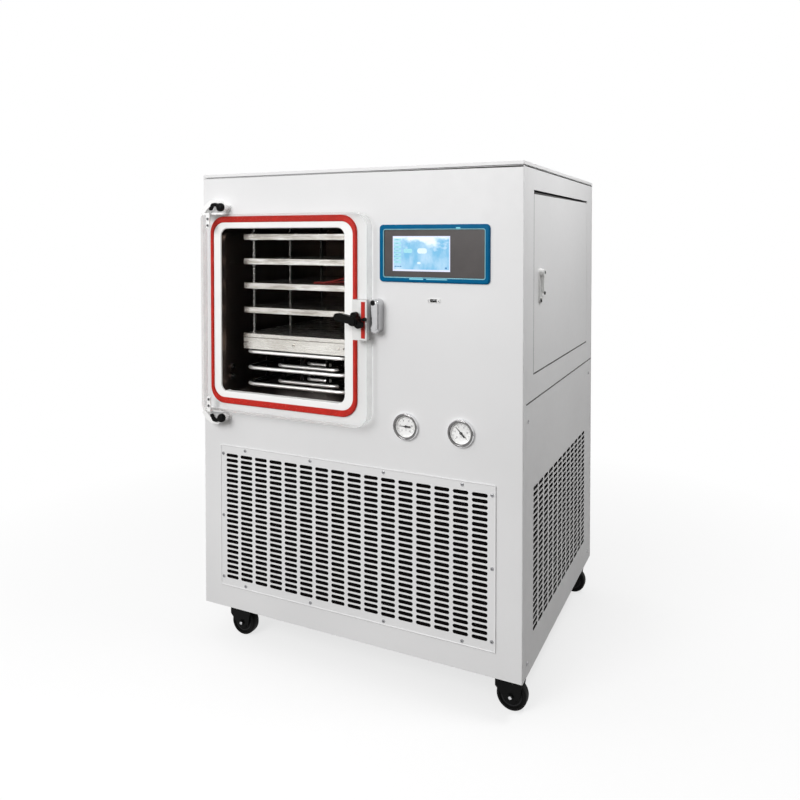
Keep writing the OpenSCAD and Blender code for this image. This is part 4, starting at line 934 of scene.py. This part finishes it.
def build_control_bay():
    """Levers, terminal screws, lamps, slotted ducts and wiring on the control plate's devices."""
    base = control[0].z
    face = Plane("right", control[0].x)

    def row(first, pitch, count):
        """The places of a row of devices along the plate."""
        return [control[0].y + (first + pitch * k) * MM for k in range(count)]

    breakers, contactors, terminals = row(67, 36, 9), row(79, 95, 4), row(74, 15, 14)
    levers = Piece("breaker_levers", black_moulding)
    screws = Piece("terminal_screws", screw_steel)
    lamps = Piece("device_lamps", lamp_green)
    for y in breakers:
        levers.prism(face, rounded((y, base + 418 * MM), 11, 16, 1.5, 2), 69, 74)
        levers.prism(face, rounded((y, base + 421 * MM), 7, 5, 1, 2), 73, 81)
        for z in (383, 452):
            screws.turned(face, (y, base + z * MM), ((3.4, 69), (3.4, 70.6), (2.4, 71)), 16)
    for y in contactors:
        levers.prism(face, rounded((y, base + 267 * MM), 34, 26, 2, 2), 84, 90)
        for step in (-26, 0, 26):
            for z in (234, 301):
                screws.turned(face, (y + step * MM, base + z * MM), ((4, 84), (4, 85.8), (2.8, 86.2)), 16)
        lamps.turned(face, (y + 12 * MM, base + 284 * MM), ((1.6, 84), (1.6, 85.5)), 12)
    for y in terminals:
        screws.turned(face, (y, base + 508 * MM), ((3, 99), (3, 100.6), (2, 101)), 12)
        lamps.turned(face, (y, base + 572 * MM), ((1.2, 99), (1.2, 100.4)), 10)
    for piece in (levers, screws, lamps):
        piece.done()

    duct = Piece("wire_duct", duct_grey)
    low, high = control[0].y + 25 * MM, control[1].y - 25 * MM
    for z in (325, 470):
        duct.block(face, low, base + z * MM, high, base + (z + 26) * MM, 3, 34)
        for k in range(44):
            y = low + (8 + 10 * k) * MM
            for foot in (z - 3, z + 26):
                duct.block(face, y, base + foot * MM, y + 5 * MM, base + (foot + 3) * MM, 8, 33)
    duct.done()

    for turn, (name, finish) in enumerate((("red", cable_red), ("blue", wire_blue), ("yellow", wire_yellow))):
        wires = Piece(f"bay_wires_{name}", finish)
        for y in breakers[turn::3]:
            for route in BREAKER_ROUTES:
                wires.tube([face.at(y, base + z * MM, w) for z, w in route], 1.6, 6)
        for y in contactors:
            y += 26 * (turn - 1) * MM
            wires.tube([face.at(y, base + z * MM, w) for z, w in CONTACTOR_ROUTE], 2.0, 6)
        wires.done()


def build_rear_fittings():
    """The clamp on the pump port, and the centring ring in its mouth."""
    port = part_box("vacuum_port")
    u, v = face_centre(port)
    radius = (port[1].x - port[0].x) / 2 / MM
    back = Plane("back", port[1].y)
    clamp = Piece("port_clamp", aluminium)
    clamp.turned(back, (u, v), [(radius + r, w) for r, w in (
        (-3, -3.4), (2.5, -3.4), (4.5, -5), (4.5, -13), (2.5, -14.5), (-6, -14.5), (-6, -12), (-1, -10))],
        48, closed=True)
    clamp.prism(back, rounded((u + (radius + 8) * MM, v), 14, 16, 3), -13, -5)
    clamp.done()
    ring = Piece("port_ring", black_moulding)
    ring.tube(back.ring(circle((u, v), radius - 9, 48), -1.9), 1.8, closed=True)
    ring.done()


build_touch_panel()
build_gauge_print()
build_screw_recesses()
build_usb_socket()
build_lock_details()
build_chamber_details()
build_keeper_face()
build_grille_rim()
build_lid_gap_shade()
build_seam_shades()
build_caster_caps()
build_vent_shade_pads()
build_vent_slot_shades()
build_control_bay()
build_rear_fittings()


# ---------- floor, light and camera ----------

STUDIO_LEVEL = 0.50
STUDIO_SLOPE = (-0.66, -0.26, 0.16)
# name, place, the point it faces, diameter, power
LAMPS = (("key", (-0.5, -2.9, 2.0), (0.0, -0.3, 0.65), 1.5, 45),
         ("side", (1.25, -0.2, 2.2), (0.45, 0.0, 1.0), 0.5, 16))
# name, place, width, height
DARK_CARDS = (("dark_card_left", (-2.0, -1.3, 0.35), 1.0, 1.2),
              ("dark_card_right", (2.4, -1.0, 0.45), 1.6, 1.2),
              ("dark_card_near", (0.7, -2.6, 0.10), 0.9, 0.5))
CARDS_FACE = (0.1, -0.4, 0.8)
CAMERA_PLACE = (0.9494, -2.0562, 1.1445)
CAMERA_TILT, CAMERA_TURN = 90 - 1.33, 25.625
CAMERA_LENS, CAMERA_SHIFT = 33.25, -0.1812
FLOOR_SIZE = 60


def flat_sheet(name, width, height):
    x, y = width / 2, height / 2
    mesh = bpy.data.meshes.new(name)
    mesh.from_pydata([(-x, -y, 0), (x, -y, 0), (x, y, 0), (-x, y, 0)], [], [(0, 1, 2, 3)])
    return placed(name, mesh)


def aim(thing, place, target, axis):
    """Puts a thing in its place, with one of its axes towards the target."""
    thing.location = place
    thing.rotation_mode = "QUATERNION"
    thing.rotation_quaternion = (Vector(target) - Vector(place)).to_track_quat(axis, "Y")


def make_floor():
    """A pale floor that keeps the object's shadow, fades to white away from it and bounces little light."""
    floor = flat_sheet("floor", FLOOR_SIZE, FLOOR_SIZE)
    m = Shader("floor", base_color=(0.17, 0.16, 0.15, 1.0), roughness=1.0, specular_IOR_level=0.0)
    length = m.add("ShaderNodeVectorMath", operation="LENGTH")
    m.link(m.place(), length.inputs[0])
    fade = m.span(length.outputs["Value"], 0.7, 1.9, 0.72, 1.0)
    pale = m.add("ShaderNodeBsdfDiffuse")
    pale.inputs["Color"].default_value = (0.95, 0.95, 0.95, 1.0)
    shown = m.choose(fade, pale.outputs[0], m.add("ShaderNodeEmission").outputs[0])
    m.show(m.choose(m.seen_directly(), m.surface.outputs[0], shown))
    floor.data.materials.append(m.material)


def make_world():
    """A plain pale studio: brightest from the front left and above, dimmer from the right."""
    world = bpy.data.worlds.new("studio")
    bpy.context.scene.world = world
    sky = Nodes(world)
    slope = sky.add("ShaderNodeVectorMath", operation="DOT_PRODUCT")
    slope.inputs[1].default_value = STUDIO_SLOPE
    sky.link(sky.add("ShaderNodeTexCoord").outputs["Generated"], slope.inputs[0])
    studio, plain = sky.add("ShaderNodeBackground"), sky.add("ShaderNodeBackground")
    for background in (studio, plain):
        background.inputs["Color"].default_value = (1, 1, 1, 1)
    level = sky.compute("ADD", slope.outputs["Value"], STUDIO_LEVEL, clamp=True)
    sky.link(level, studio.inputs["Strength"])
    shader = sky.choose(sky.seen_directly(), studio.outputs[0], plain.outputs[0])
    sky.link(shader, sky.add("ShaderNodeOutputWorld").inputs[0])


def make_lamp(name, place, target, size, power):
    light = bpy.data.lights.new(name, "AREA")
    light.shape = "DISK"
    light.size = size
    light.energy = power
    aim(placed(name, light), place, target, "-Z")


def make_dark_card(name, place, width, height):
    """A black card that only shiny metal sees, as the dark side of the room in its reflections."""
    card = flat_sheet(name, width, height)
    aim(card, place, CARDS_FACE, "Z")
    card.visible_camera = card.visible_diffuse = card.visible_shadow = card.visible_transmission = False
    black = Shader(name, base_color=(0.01, 0.01, 0.01, 1.0), roughness=1.0, specular_IOR_level=0.0)
    card.data.materials.append(black.material)


def make_camera():
    data = bpy.data.cameras.new("camera")
    data.sensor_width = 36.0
    data.lens = CAMERA_LENS
    data.shift_y = CAMERA_SHIFT
    camera = placed("camera", data)
    camera.location = CAMERA_PLACE
    camera.rotation_euler = (math.radians(CAMERA_TILT), 0.0, math.radians(CAMERA_TURN))
    bpy.context.scene.camera = camera


make_floor()
make_world()
for lamp in LAMPS:
    make_lamp(*lamp)
for card in DARK_CARDS:
    make_dark_card(*card)
make_camera()
bpy.context.scene.view_settings.view_transform = "Standard"
